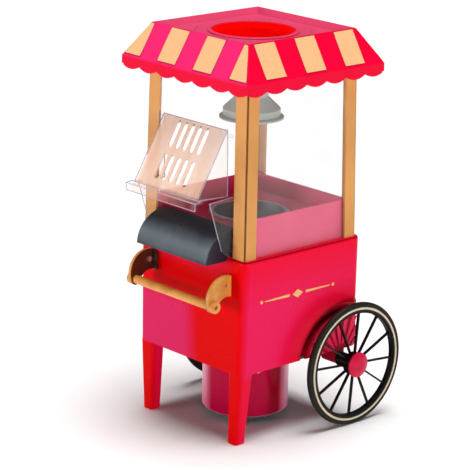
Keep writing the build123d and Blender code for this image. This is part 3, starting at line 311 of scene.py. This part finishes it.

# %% [markdown]
# ## The body, the roof, the chute and the round base
# The same red is painted in lit and shaded versions from side to side of the cart, as if
# the light fell on it. The front is painted the purest red, with a painted pink reflection
# on its left; the flanks carry a painted pink sheen in the middle and painted shade towards
# the wheel arches, whose coves get a painted shadow. The brackets get painted shade where
# they face each other, and the chute a painted highlight half way down its curve. All of
# it follows the place on the part.

# %% Body, brackets, roof, chute and base
def body_paint(name, axle, front_y):
    """Red painted with light and shade: lit and shaded versions for front and flank, painted pink
    reflections, and painted shade round the axle.
    """
    disc_r, cove_r, cove_x, cove_z = 49 * MM, (51 * MM, 61.8 * MM), 68 * MM, (62 * MM, 112 * MM)
    sheen_r, sheen_z = (64 * MM, 96 * MM), (140 * MM, 186 * MM)
    thigh_z, hem_z = (66 * MM, 74 * MM), (72 * MM, 75 * MM)
    left_x, left_z, left_lean = (0.0, 22 * MM), (124 * MM, 142 * MM), 0.10
    chute_x, chute_z = (30 * MM, 60 * MM), (166 * MM, 186 * MM)
    turn_y = (front_y + 1.0 * MM, front_y + 8.0 * MM)
    paint = Paint(name)
    where = paint.place()
    x, y, z = paint.axes(where)
    away_y, away_z = y - axle.y, z - axle.z
    radius = (away_y * away_y + away_z * away_z) ** 0.5
    clouds = paint.noise(where, 40.0, 2.0) - 0.5

    # Painted sheen: the flanks turn pinker away from the wheel arch, as reflected light, less so near the
    # top and on the legs.
    painted_sheen = paint.clip(radius, *sheen_r) * (1.0 - paint.clip(z, *sheen_z) * 0.9)
    share = (painted_sheen + 0.3 * clouds) * (0.25 + 0.75 * paint.clip(z, *thigh_z))
    flank = paint.blend(share, rgb(0.80, 0.0015, 0.026), rgb(0.78, 0.010, 0.090))
    # Painted reflections on the front: a pink patch low on the left and a pink streak under the chute.
    left = 1.0 - paint.clip(x + left_lean * z, *left_x)
    lower_left = left * (1.0 - paint.clip(z, *left_z)) * paint.clip(z, *hem_z)
    under_chute = paint.clip(z, *chute_z) * (1.0 - paint.clip(x, *chute_x)) * 0.6
    painted_pink_reflection = lower_left + under_chute + 0.06 * clouds
    front = paint.blend(painted_pink_reflection, rgb(0.72, 0.0002, 0.0010), rgb(0.70, 0.020, 0.115))
    # Front and flank are lit and shaded versions of one red, painted by which way the face turns.
    facing_front = 1.0 - paint.clip(y, *turn_y)
    outside = paint.blend(facing_front, flank, front)

    # Painted shadow in the coves round the wheel arches, darker higher up.
    outboard = abs(x) > cove_x
    shade_high = 0.30 + 0.70 * paint.clip(z, *cove_z)
    painted_cove_shadow = (1.0 - paint.clip(radius, *cove_r)) * shade_high * outboard
    cove_shadowed = paint.blend(painted_cove_shadow, outside, rgb(0.10, 0.0008, 0.006))
    # Painted shade on the disc behind the arch ribs.
    painted_disc_shade = (radius < disc_r) * outboard
    return paint.finish(paint.skin({
        "Base Color": paint.blend(painted_disc_shade, cove_shadowed, rgb(0.42, 0.001, 0.014)),
        "Roughness": scuffed(paint, where, 0.28, 0.08),
        "Specular IOR Level": 0.03,
        "Coat Weight": 0.06 * (1.0 - facing_front),
        "Coat Roughness": 0.15,
        "Normal": orange_peel(paint, where, 0.002),
    }))


def bracket_paint(name, inner_x):
    """Gold outside; the faces turned towards each other get painted shade, a near-black brown."""
    paint = Paint(name)
    where = paint.place()
    across, _, _ = paint.axes(where)
    # Painted shade on the faces turned towards each other.
    outside = paint.clip(abs(across), inner_x + 0.2 * MM, inner_x + 1.2 * MM)
    clouds = paint.clip(paint.noise(where, 12.0, 2.0), 0.3, 0.7)
    gold = paint.blend(clouds, rgb(0.52, 0.20, 0.030), rgb(0.72, 0.31, 0.055))
    return paint.finish(paint.skin({
        "Base Color": paint.blend(outside, rgb(0.060, 0.012, 0.006), gold),
        "Roughness": 0.28 + 0.1 * clouds,
        "Specular IOR Level": 0.4,
        "Normal": orange_peel(paint, where, 0.003),
    }))


def canopy_paint(name, middle_y, tray_half, eave_z):
    """Roof red; the front slope and the recessed top get a painted pink highlight, as if lit more than
    the other sides.
    """
    paint = Paint(name)
    where = paint.place()
    across, along, height = paint.axes(where)
    along = along - middle_y
    # Painted highlight: the front slope, above the eave, is painted pinker as if more lit.
    above_eave = paint.clip(height, eave_z - 1 * MM, eave_z + 1 * MM)
    front = paint.clip(-1.0 * along - abs(across), -1 * MM, 1 * MM) * above_eave
    clouds = paint.noise(where, 30.0, 2.0)
    plain = paint.blend(clouds, rgb(0.76, 0.0008, 0.026), rgb(0.80, 0.0015, 0.040))
    front_slope_lit = paint.blend(front, plain, rgb(0.76, 0.018, 0.135))
    # Painted highlight on the recessed top inside the tray.
    widest = across.sum("MAXIMUM", abs(across), abs(along))
    painted_tray_highlight = 1.0 - paint.clip(widest, tray_half - 0.5 * MM, tray_half + 0.5 * MM)
    return paint.finish(paint.skin({
        "Base Color": paint.blend(painted_tray_highlight, front_slope_lit, rgb(0.70, 0.060, 0.150)),
        "Roughness": 0.30 + 0.08 * clouds,
        "Specular IOR Level": 0.03,
        "Coat Weight": 0.06,
        "Normal": orange_peel(paint, where, 0.002),
    }))


def chute_paint(name, low_z, high_z, cheek_x):
    """Slate with a painted highlight in a broad band half way down its curve, and painted shade on its
    near-black cheeks.
    """
    band_at, band_edges = 0.42, (0.05, 0.42)
    paint = Paint(name)
    where = paint.place()
    across, _, height = paint.axes(where)
    off_band = abs(paint.clip(height, low_z, high_z) - band_at)
    patches = paint.noise(where, 14.0, 3.0)
    # Painted highlight: a paler band half way down the curve.
    painted_highlight_band = 1.0 - paint.clip(off_band + 0.15 * (patches - 0.5), *band_edges)
    face = paint.blend(painted_highlight_band, rgb(0.020, 0.026, 0.036), rgb(0.150, 0.178, 0.205))
    # Painted shade on the end cheeks.
    cheek = paint.clip(abs(across), cheek_x - 1.0 * MM, cheek_x)
    return paint.finish(paint.skin({
        "Base Color": paint.blend(cheek, face, rgb(0.012, 0.014, 0.024)),
        "Roughness": 0.30 + 0.12 * (patches - 0.5),
        "Specular IOR Level": 0.3,
        "Normal": paint.bump(paint.noise(where, 0.55, 3.0), 0.02),
    }))


def base_paint(name, centre_y):
    """Deep glossy red, with a painted dark reflection in a streak on its right and a painted pink
    highlight on its rims.
    """
    streak_edges, rim_edges = (math.radians(5), math.radians(15)), (0.42, 0.66)
    paint = Paint(name)
    where = paint.place()
    across, along, _ = paint.axes(where)
    bearing = across.sum("ARCTAN2", along - centre_y, across)
    # Painted dark reflection in a streak on the right.
    painted_dark_streak = 1.0 - paint.clip(abs(bearing), *streak_edges)
    clouds = paint.noise(paint.stretched(where, 1.0, 1.0, 0.2), 12.0, 2.0)
    plain = paint.blend(clouds, rgb(0.44, 0.0008, 0.034), rgb(0.52, 0.0012, 0.050))
    skin = paint.skin({
        "Base Color": paint.blend(painted_dark_streak * 0.8, plain, rgb(0.24, 0.0008, 0.006)),
        "Roughness": 0.12 + 0.06 * clouds,
        "Specular IOR Level": 0.08,
    })
    # Painted pink highlight on the rims, where the face turns away.
    painted_rim_highlight = paint.skin({"Base Color": rgb(0.95, 0.30, 0.48), "Roughness": 0.3})
    facing = paint.node("LayerWeight", None, {"Blend": 0.5}, output="Facing")
    share = 0.80 * paint.clip(facing, *rim_edges)
    return paint.finish(paint.node("MixShader", None, {0: share, 1: skin, 2: painted_rim_highlight}))


hub_low, hub_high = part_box("hub_cap_right")
axle_at = (hub_low + hub_high) / 2
base_low, base_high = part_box("base_shell")
body_low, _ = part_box("cart_body")
body_red = body_paint("body_red", axle_at, body_low.y)
base_red = base_paint("base_red", (base_low.y + base_high.y) / 2)
bracket_gold = bracket_paint("bracket_gold", BRACKET_INNER * MM)
chute_low, chute_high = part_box("chute")
chute_slate = chute_paint("chute_slate", chute_low.z, chute_high.z, chute_high.x)
canopy_red = canopy_paint("canopy_red", CASE_Y * MM, TRAY_HALF * MM, EAVE_Z * MM)
print("axle at", [round(v, 4) for v in axle_at], "front at", round(body_low.y, 4))

# %% [markdown]
# ## Printed film, satin plastic and rubber
# The cream stripes are printed film with a papery speckle. The feet and the mica cards
# have a coarse satin skin. The tyre is plain rubber whose side walls show the lathe rings
# of its mould, so its bump follows the distance from the axle.

# %% Film, satin and rubber
def printed_film(name, tint, speck):
    """Flat print with small paper-like specks, gently uneven in shine."""
    paint = Paint(name)
    where = paint.place()
    specks = paint.clip(paint.noise(where, 1.5, 5.0), 0.38, 0.66)
    slow = paint.noise(where, 17.0, 2.0)
    return paint.finish(paint.skin({
        "Base Color": paint.blend(specks * 0.55 + slow * 0.3, tint, speck),
        "Roughness": 0.42 + 0.15 * specks,
        "Normal": paint.bump(specks, 0.01),
    }))


def satin(name, tint, deep, shine):
    """Spark-eroded skin: a coarse, shallow grain that spreads the highlights."""
    paint = Paint(name)
    where = paint.place()
    grain = paint.noise(where, 0.55, 3.0)
    patches = paint.noise(where, 12.0, 3.0)
    return paint.finish(paint.skin({
        "Base Color": paint.blend(patches, deep, tint),
        "Roughness": shine + 0.16 * (patches - 0.5) + 0.08 * (grain - 0.5),
        "Normal": paint.bump(grain, 0.03),
    }))


def tyre_rubber(name, axle):
    """Rubber with rings about the axle and dust in the grain."""
    ring_pitch = 0.9 * MM
    paint = Paint(name)
    where = paint.place()
    _, y, z = paint.axes(where)
    away_y, away_z = y - axle.y, z - axle.z
    radius = (away_y * away_y + away_z * away_z) ** 0.5
    rings = paint.node("Math", {"operation": "SINE"}, {0: radius * (2 * math.pi / ring_pitch)})
    dust = paint.clip(paint.noise(where, 2.2, 5.0), 0.45, 0.8)
    return paint.finish(paint.skin({
        "Base Color": paint.blend(dust * 0.5, rgb(0.012, 0.010, 0.008), rgb(0.045, 0.037, 0.029)),
        "Roughness": 0.42 + 0.25 * dust,
        "Specular IOR Level": 0.12,
        "Normal": paint.bump(rings * 0.4 + dust, 0.03),
    }))


stripe_cream = printed_film("stripe_cream", rgb(0.80, 0.46, 0.22), rgb(0.71, 0.36, 0.16))
gold_print = printed_film("gold_print", rgb(0.86, 0.50, 0.17), rgb(0.72, 0.36, 0.10))
foot_rubber = satin("foot_rubber", rgb(0.045, 0.045, 0.045), rgb(0.03, 0.03, 0.03), 0.7)
mica_sheet = satin("mica_sheet", rgb(0.60, 0.52, 0.38), rgb(0.44, 0.36, 0.25), 0.4)
rubber = tyre_rubber("tyre_rubber", axle_at)
print("materials so far:", len(bpy.data.materials))

# %% [markdown]
# ## Metals inside
# The motor, axle and screws are drawn or pressed steel, and the popping chamber is spun
# aluminium. Fine noise, drawn out along the way the tool went, makes both kinds of line.

# %% Metals
def drawn_metal(name, tint, stain, shine, draw):
    """Metal with hairlines along the direction whose share in draw is small."""
    paint = Paint(name)
    where = paint.place()
    hair = paint.noise(paint.stretched(where, *draw), 0.5, 4.0)
    cloud = paint.noise(where, 9.0, 3.0)
    return paint.finish(paint.skin({
        "Base Color": paint.blend(cloud, stain, tint),
        "Metallic": 1.0,
        "Roughness": shine + 0.22 * (hair - 0.5),
        "Normal": paint.bump(hair, 0.008),
    }))


axle_steel = drawn_metal("axle_steel", rgb(0.66, 0.66, 0.67), rgb(0.50, 0.49, 0.48), 0.26, (0.04, 1, 1))
screw_steel = drawn_metal("screw_steel", rgb(0.78, 0.78, 0.77), rgb(0.62, 0.62, 0.60), 0.28, (1, 1, 1))
motor_steel = drawn_metal("motor_steel", rgb(0.56, 0.57, 0.58), rgb(0.44, 0.44, 0.44), 0.34, (1, 1, 0.05))
chamber_metal = drawn_metal(
    "chamber_metal", rgb(0.84, 0.85, 0.86), rgb(0.74, 0.74, 0.74), 0.3, (0.2, 0.2, 1.6)
)
coil_wire = drawn_metal("coil_wire", rgb(0.42, 0.38, 0.34), rgb(0.28, 0.24, 0.21), 0.5, (1, 1, 1))
print("materials so far:", len(bpy.data.materials))

# %% [markdown]
# ## Clear plastic
# Clear styrene is mostly what is behind it. A Mix Shader joins a tinted Transparent
# shader and a glossy one: the glossy share is small face-on and grows towards a grazing
# angle, as it does on any polished sheet, which is what makes the edges visible.

# %% Clear plastics
def clear(name, through, sheen, face_on, edge_on):
    """Polished clear sheet; its reflecting share runs from face_on to edge_on."""
    paint = Paint(name)
    where = paint.place()
    smears = paint.clip(paint.noise(where, 22.0, 3.0), 0.4, 0.75)
    facing = paint.node("LayerWeight", None, {"Blend": 0.35}, output="Facing")
    glass = paint.node("BsdfTransparent", None, {"Color": through})
    skin = paint.skin({
        "Base Color": sheen,
        "Roughness": 0.05 + 0.12 * smears,
        "Normal": paint.bump(paint.noise(where, 14.0, 1.0), 0.05),
    })
    share = face_on + smears * 0.02 + (edge_on - face_on) * facing ** 3.0
    return paint.finish(paint.node("MixShader", None, {0: share, 1: glass, 2: skin}))


def tinted_hood(name, half_width, ledge_z):
    """Clear hood with a peach-tinted front; the cheeks and the lip stay clearer."""
    cheek, thin, dense, paler_right = 2.1 * MM, 0.10, 0.50, 0.16
    paint = Paint(name)
    where = paint.place()
    across, _, height = paint.axes(where)
    inside = abs(across) < half_width - cheek
    facing = paint.node("LayerWeight", None, {"Blend": 0.35}, output="Facing")
    streaks = paint.clip(paint.noise(paint.stretched(where, 1.0, 0.25, 0.25), 9.0, 3.0), 0.35, 0.7)
    peach = paint.blend(streaks, rgb(0.92, 0.62, 0.47), rgb(0.95, 0.69, 0.55))
    skin = paint.skin({
        "Base Color": paint.blend(inside, rgb(0.80, 0.80, 0.84), peach),
        "Roughness": 0.12 + 0.1 * streaks,
    })
    glass = paint.node("BsdfTransparent", None, {"Color": rgb(0.985, 0.965, 0.95)})
    above_ledge = paint.clip(height, ledge_z - 1.0 * MM, ledge_z + 4.0 * MM)
    to_right = paint.clip(across, -10 * MM, half_width)
    solid = inside * (thin + dense * above_ledge - paler_right * to_right)
    share = 0.035 + solid + 0.04 * streaks + 0.4 * facing ** 4.0
    return paint.finish(paint.node("MixShader", None, {0: share, 1: glass, 2: skin}))


window_clear = clear("window_clear", rgb(0.99, 0.99, 0.99), rgb(0.95, 0.96, 0.97), 0.045, 0.22)
guard_clear = clear("guard_clear", rgb(0.975, 0.975, 0.98), rgb(0.80, 0.80, 0.84), 0.02, 0.25)
edge_clear = clear("edge_clear", rgb(0.80, 0.76, 0.84), rgb(0.66, 0.62, 0.72), 0.40, 0.75)
hood_clear = tinted_hood("hood_clear", HOOD_HALF * MM, LEDGE[1] * MM)
print("materials so far:", len(bpy.data.materials))

# %% [markdown]
# ## Which node wears which finish
# A CAD node keeps its mesh. Its finish is set by putting a material in its first slot.

# %% Dress the CAD nodes
WEAR = {
    body_red: "cart_body leg_left leg_right",
    ribs_lit_pink: "arch_ribs_left arch_ribs_right",
    hanger_red: "axle_bracket_left axle_bracket_right",
    base_red: "base_shell",
    canopy_red: "canopy",
    cup_red: "measuring_cup",
    hopper_hazed_pink: "hopper top_frame",
    hub_pink: "hub_cap_left hub_cap_right",
    post_gold: "post_front_left post_front_right post_rear_left post_rear_right",
    handle_gold: "handle_bar",
    bracket_gold: "handle_bracket_left handle_bracket_right",
    gold_print: "side_ornaments",
    stripe_cream: "roof_stripes",
    line_cream: "pale_line_left pale_line_right",
    kettle_grey: "kettle",
    chute_slate: "chute",
    spoke_black: "rim_left rim_right switch_frame",
    duct_black: "air_duct fan",
    floor_grey: "body_floor base_plate",
    rocker_red: "switch_rocker",
    rubber: "tyre_left tyre_right",
    foot_rubber: "rubber_feet lead_inlet",
    axle_steel: "axle motor_shaft",
    screw_steel: "floor_screws handle_screws motor_mount",
    motor_steel: "motor",
    chamber_metal: "popping_chamber",
    mica_sheet: "mica_frame",
    coil_wire: "heating_coil",
    ceramic_white: "thermostat thermal_fuse",
    window_clear: "side_window_left side_window_right rear_window front_pane",
    guard_clear: "spill_guards",
    hood_clear: "hood",
}


def dress(piece, material):
    """Puts one material on a piece, in its first slot."""
    if piece.material_slots:
        piece.material_slots[0].material = material
    else:
        piece.data.materials.append(material)


dressed = set()
for material, names in WEAR.items():
    for name in names.split():
        dress(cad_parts[name], material)
        dressed.add(name)
print("dressed:", len(dressed), "left bare:", sorted(set(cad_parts) - dressed))

# %% [markdown]
# ## Surfaces from arrays
# New trim is worked out with numpy: a grid of points, one row for each step along a path
# and one column for each step round it. `sheet_faces` joins neighbours into quads, and
# the corners that fall together at a closed end are welded afterwards.

# %% Grids to meshes
def sheet_faces(rows, columns, closed_path):
    """Quads between neighbouring grid points; columns wrap, and rows do if closed."""
    down = np.arange(rows if closed_path else rows - 1)
    across = np.arange(columns)
    row, column = (part.ravel() for part in np.meshgrid(down, across, indexing="ij"))
    above, below = row * columns, (row + 1) % rows * columns
    beside = (column + 1) % columns
    return np.stack([above + column, above + beside, below + beside, below + column], axis=1)


def make_piece(name, grids, body, material):
    """One object from several grids, each (points, closed_path), riding on a body."""
    points, faces, count = [], [], 0
    for grid, closed_path in grids:
        rows, columns, _ = grid.shape
        points.append(grid.reshape(-1, 3))
        faces.append(sheet_faces(rows, columns, closed_path) + count)
        count += rows * columns
    mesh = bpy.data.meshes.new(name)
    mesh.from_pydata(np.concatenate(points).tolist(), [], np.concatenate(faces).tolist())
    work = bmesh.new()
    work.from_mesh(mesh)
    bmesh.ops.remove_doubles(work, verts=work.verts, dist=1e-7)
    bmesh.ops.recalc_face_normals(work, faces=work.faces)
    work.to_mesh(mesh)
    work.free()
    mesh.polygons.foreach_set("use_smooth", np.ones(len(mesh.polygons), bool))
    piece = bpy.data.objects.new(name, mesh)
    bpy.context.scene.collection.objects.link(piece)
    dress(piece, material)
    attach(piece, body)
    print(name, "faces:", len(mesh.polygons))


def unit(vectors):
    """Each vector divided by its length."""
    return vectors / np.linalg.norm(vectors, axis=-1, keepdims=True)


def bead(path, radius, closed=False, sides=10, lean=(0.31, 0.17, 0.94)):
    """Round bead: circle of angle a about each path point, across the halved bend.

    point = path + radius * (side * cos a + over * sin a), drawn out along the bend by
    one over the cosine of half the turn, so that a mitred corner keeps its width.
    """
    line = np.asarray(path, float) * MM
    leave = unit(np.roll(line, -1, axis=0) - line)
    if not closed:
        leave[-1] = leave[-2]
    arrive = np.roll(leave, 1, axis=0)
    if not closed:
        arrive[0] = leave[0]
    along = unit(arrive + leave)
    side = unit(np.cross(along, lean))
    over = np.cross(side, along)
    angle = np.linspace(0, 2 * np.pi, sides, endpoint=False)[None, :, None]
    ring = radius * MM * (side[:, None] * np.cos(angle) + over[:, None] * np.sin(angle))
    bend = leave - arrive
    turn = np.linalg.norm(bend, axis=1, keepdims=True)
    bend = bend / np.maximum(turn, 1e-9)
    stretch = 1 / np.sqrt(np.maximum(1 - (turn / 2) ** 2, 0.1)) - 1
    ring = ring + (ring * bend[:, None]).sum(2, keepdims=True) * (bend * stretch)[:, None]
    grid = line[:, None] + ring
    if not closed:
        ends = [np.repeat(line[end][None, None], sides, axis=1) for end in (0, -1)]
        grid = np.concatenate([ends[0], grid, ends[1]])
    return grid, closed


def dome(centre, outward, radius, height, rows=5, sides=12):
    """Button: radius * cos b wide at height * sin b, closed at its top and its foot."""
    normal = unit(np.asarray(outward, float))
    first = unit(np.cross(normal, (0.3, 0.9, 0.1)))
    second = np.cross(normal, first)
    rise = np.linspace(0, np.pi / 2, rows)
    width = np.concatenate([[0.0], radius * np.cos(rise)])[:, None, None] * MM
    lift = np.concatenate([[0.0], height * np.sin(rise)])[:, None, None] * MM
    angle = np.linspace(0, 2 * np.pi, sides, endpoint=False)[None, :, None]
    spread = first * np.cos(angle) + second * np.sin(angle)
    return np.asarray(centre) * MM + width * spread + lift * normal, False


print("grid tools are ready")

# %% [markdown]
# ## Trim on the roof and the case
# The film stripes sit in an outline of dark red, as thin as a pen line. Each slope
# is drawn once, in its own plane, and turned by quarters. Down the outer corner of each
# post a brown bead is painted shade in the corner groove, and a dark line of painted
# shadow runs round the top of the body, just under the edge of the deck.

# %% Stripe outlines
STRIPES = 7
SLOPE = math.hypot(EAVE_HALF - RIM_HALF, RIM_Z - EAVE_Z)
LOW_EDGE, HIGH_EDGE, INSET = 3.0, 0.9, 0.7
OUTLINE_R, OUTLINE_LIFT = 0.42, 0.15


def stripe_corners(number):
    """Corners of one stripe: how far along the eave, and how far up the slope."""
    pitch = 2 * EAVE_HALF / STRIPES
    start = number * pitch - EAVE_HALF
    end, top = start + pitch, SLOPE - HIGH_EDGE
    along, upward = np.array([(start, LOW_EDGE), (end, LOW_EDGE), (end, top), (start, top)]).T
    limit = EAVE_HALF - INSET - upward * (EAVE_HALF - RIM_HALF) / SLOPE
    return np.clip(along, -limit, limit), upward


def on_slope(along, upward, quarter, lift):
    """Points of the roof's slope, lifted off it and turned by quarters about the middle."""
    share = upward / SLOPE
    out_y, out_z = -(RIM_Z - EAVE_Z) / SLOPE, (EAVE_HALF - RIM_HALF) / SLOPE
    reach = -(EAVE_HALF - (EAVE_HALF - RIM_HALF) * share) + out_y * lift
    height = EAVE_Z + (RIM_Z - EAVE_Z) * share + out_z * lift
    spin = quarter * math.pi / 2
    x = along * math.cos(spin) - reach * math.sin(spin)
    y = along * math.sin(spin) + reach * math.cos(spin)
    return np.stack([x, y + CASE_Y, height], axis=1)


# The front and rear slopes carry the even stripes, and the side slopes the odd ones.
outlines = []
for quarter in range(4):
    for number in range(quarter % 2, STRIPES, 2):
        corners = on_slope(*stripe_corners(number), quarter, OUTLINE_LIFT)
        outlines.append(bead(corners, OUTLINE_R, closed=True, sides=8))
outline_red = moulded(
    "outline_red", rgb(0.42, 0.003, 0.020), rgb(0.34, 0.002, 0.014), 0.4, gloss=0.05, cloud_mm=8.0
)
make_piece("stripe_outlines", outlines, "roof", outline_red)

# %% Painted shade in the post grooves
GROOVE_SHADE_IN, GROOVE_SHADE_R, GROOVE_SHADE_STEPS = 0.9, 0.6, 12
GROOVE_SHADE_FOOT, GROOVE_SHADE_HEAD = DECK_Z + 0.6, CASE_TOP - 0.3
dark_brown_trim = moulded(
    "dark_brown_trim", rgb(0.20, 0.075, 0.018), rgb(0.12, 0.040, 0.010), 0.45, gloss=0.2, cloud_mm=12.0
)


def post_corner(half, hand_x, hand_y, height):
    """Where a post's outer corner edge passes a height."""
    set_back = REAR_POST_BACK if hand_y > 0 else 0.0
    x = hand_x * (half[0] - GROOVE_SHADE_IN)
    y = CASE_Y + set_back + hand_y * (half[1] - GROOVE_SHADE_IN)
    return np.array([x, y, height])


# A dark brown bead in each post's corner groove: painted shade.
steps = np.linspace(0, 1, GROOVE_SHADE_STEPS)[:, None]
for end, hand_y in (("front", -1), ("rear", 1)):
    for side, hand_x in (("left", -1), ("right", 1)):
        foot = post_corner(POST_FOOT, hand_x, hand_y, GROOVE_SHADE_FOOT)
        head = post_corner(POST_HEAD, hand_x, hand_y, GROOVE_SHADE_HEAD)
        groove_shade = bead(foot * (1 - steps) + head * steps, GROOVE_SHADE_R, lean=(1, 0.2, 0))
        make_piece(f"post_groove_shade_{end}_{side}", [groove_shade], "cart", dark_brown_trim)

# %% Deck line
LINE_IN, LINE_DOWN, LINE_R = 0.85, 0.85, 0.5


def round_corners(half, corner, steps=7):
    """Square in plan with rounded corners: corner centre + corner * (cos a, sin a)."""
    points = []
    for quarter, (sign_x, sign_y) in enumerate(((1, 1), (-1, 1), (-1, -1), (1, -1))):
        for angle in (quarter + np.linspace(0, 1, steps)) * math.pi / 2:
            x = sign_x * (half - corner) + corner * math.cos(angle)
            y = sign_y * (half - corner) + corner * math.sin(angle)
            points.append((x, y))
    return np.array(points)


# Painted shadow: a dark bead just under the deck's edge, where the case meets the body.
plan = round_corners(DECK_HALF - LINE_IN, DECK_CORNER - LINE_IN)
level = np.full(len(plan), DECK_Z - LINE_DOWN)
path = np.column_stack([plan[:, 0], plan[:, 1] + CASE_Y + BODY_BACK, level])
line = bead(path, LINE_R, closed=True, sides=8, lean=(0, 0, 1))
deck_shadow_red = moulded(
    "deck_shadow_red", rgb(0.20, 0.0015, 0.008), rgb(0.14, 0.001, 0.006), 0.4, gloss=0.05, cloud_mm=9.0
)
make_piece("deck_line", [line], "cart", deck_shadow_red)

# %% [markdown]
# ## Edges of the clear parts
# A clear sheet shows mainly by its edges, which look denser because light runs along
# inside the plastic and comes out there. Thin beads along the hood's and the guards'
# outlines carry that denser finish. Five small dark studs sit above the upper slots.

# %% Hood edges, studs and guard edges
EDGE_R, GUARD_EDGE_R = 0.5, 0.55


def in_case(x, corner):
    """A point beside the case's centre plane, from how far behind its centre and how high."""
    return (x, CASE_Y + corner[0], corner[1])


half = HOOD_HALF - EDGE_R / 2
lip_half = LIP_HALF - EDGE_R / 2
edges = []
for hand in BOTH_HANDS:
    for corners in ((CHEEK_FOOT, HOOD_TOP, HOOD_FOOT), (CHEEK_FOOT, HOOD_FOOT)):
        edges.append(bead([in_case(hand * half, corner) for corner in corners], EDGE_R))
    lip_end = [in_case(hand * lip_half, corner) for corner in (HOOD_FOOT, LEDGE, LIP)]
    edges.append(bead(lip_end, EDGE_R))
for corner, reach in ((HOOD_TOP, half), (HOOD_FOOT, lip_half), (LEDGE, lip_half), (LIP, lip_half)):
    across = [in_case(x, corner) for x in (-reach, 0.0, reach)]
    edges.append(bead(across, EDGE_R, lean=(0, 1, 0.2)))
make_piece("hood_edges", edges, "hood", edge_clear)

SLOT_PITCH, STUD_DOWN, STUD_R, STUD_TALL = 10.3, 3.4, 0.85, 0.5
down = unit(np.array(HOOD_FOOT) - np.array(HOOD_TOP))
stud_at = np.array(HOOD_TOP) + down * STUD_DOWN
panel_out = (0.0, down[1], -down[0])
stud_places = [in_case(step * SLOT_PITCH, stud_at) for step in range(-2, 3)]
studs = [dome(place, panel_out, STUD_R, STUD_TALL) for place in stud_places]
make_piece("hood_studs", studs, "hood", dark_brown_trim)

rims = [bead([in_case(hand * GUARD_X, at) for at in GUARD_LINE], GUARD_EDGE_R) for hand in BOTH_HANDS]
make_piece("guard_edges", rims, "cart", edge_clear)

# %% [markdown]
# ## Floor and lamps
# A matt, nearly white floor and a white surround. Three broad lamps: one nearly level
# from the front left for the front and the handle, one nearly level from the right for
# the side wall, and one overhead for the roof, which throws the shadow under the cart.

# %% Stage
def floor_paint():
    """Matt white with the faintest mottling, as on a painted board."""
    paint = Paint("stage_floor")
    where = paint.place()
    mottle = paint.noise(where, 300.0, 2.0)
    tint = paint.blend(mottle, rgb(0.93, 0.93, 0.93), rgb(0.96, 0.96, 0.96))
    return paint.finish(paint.skin({"Base Color": tint, "Roughness": 0.75}))


FLOOR_HALF = 6.0
floor_mesh = bpy.data.meshes.new("floor")
corners = [(x * FLOOR_HALF, y * FLOOR_HALF, 0) for x, y in ((-1, -1), (1, -1), (1, 1), (-1, 1))]
floor_mesh.from_pydata(corners, [], [(0, 1, 2, 3)])
floor = bpy.data.objects.new("floor", floor_mesh)
bpy.context.scene.collection.objects.link(floor)
dress(floor, floor_paint())

# Seen straight by the camera, the surround is white; as a source of light it is faint.
BACKDROP, AMBIENT = 1.0, 0.075
world = bpy.data.worlds.new("studio")
bpy.context.scene.world = world
world.use_nodes = True
sky = world.node_tree
surround = sky.nodes["Background"]
surround.inputs["Color"].default_value = rgb(1.0, 1.0, 1.0)
ray = sky.nodes.new("ShaderNodeLightPath")
glow = sky.nodes.new("ShaderNodeMapRange")
glow.inputs["To Min"].default_value = AMBIENT
glow.inputs["To Max"].default_value = BACKDROP
sky.links.new(ray.outputs["Is Camera Ray"], glow.inputs["Value"])
sky.links.new(glow.outputs["Result"], surround.inputs["Strength"])


def soft_sun(name, toward, strength, spread):
    """Broad even light that comes from one side; spread in degrees softens its shadows."""
    lamp = bpy.data.lights.new(name, "SUN")
    lamp.energy = strength
    lamp.angle = math.radians(spread)
    sun = bpy.data.objects.new(name, lamp)
    sun.rotation_euler = Vector(toward).to_track_quat("Z", "Y").to_euler()
    bpy.context.scene.collection.objects.link(sun)


soft_sun("key_light", toward=(-0.9, -2.0, 0.02), strength=2.15, spread=18)
soft_sun("side_light", toward=(2.2, -0.5, 0.02), strength=2.05, spread=18)
soft_sun("top_light", toward=(0.1, 0.1, 2.0), strength=3.45, spread=36)
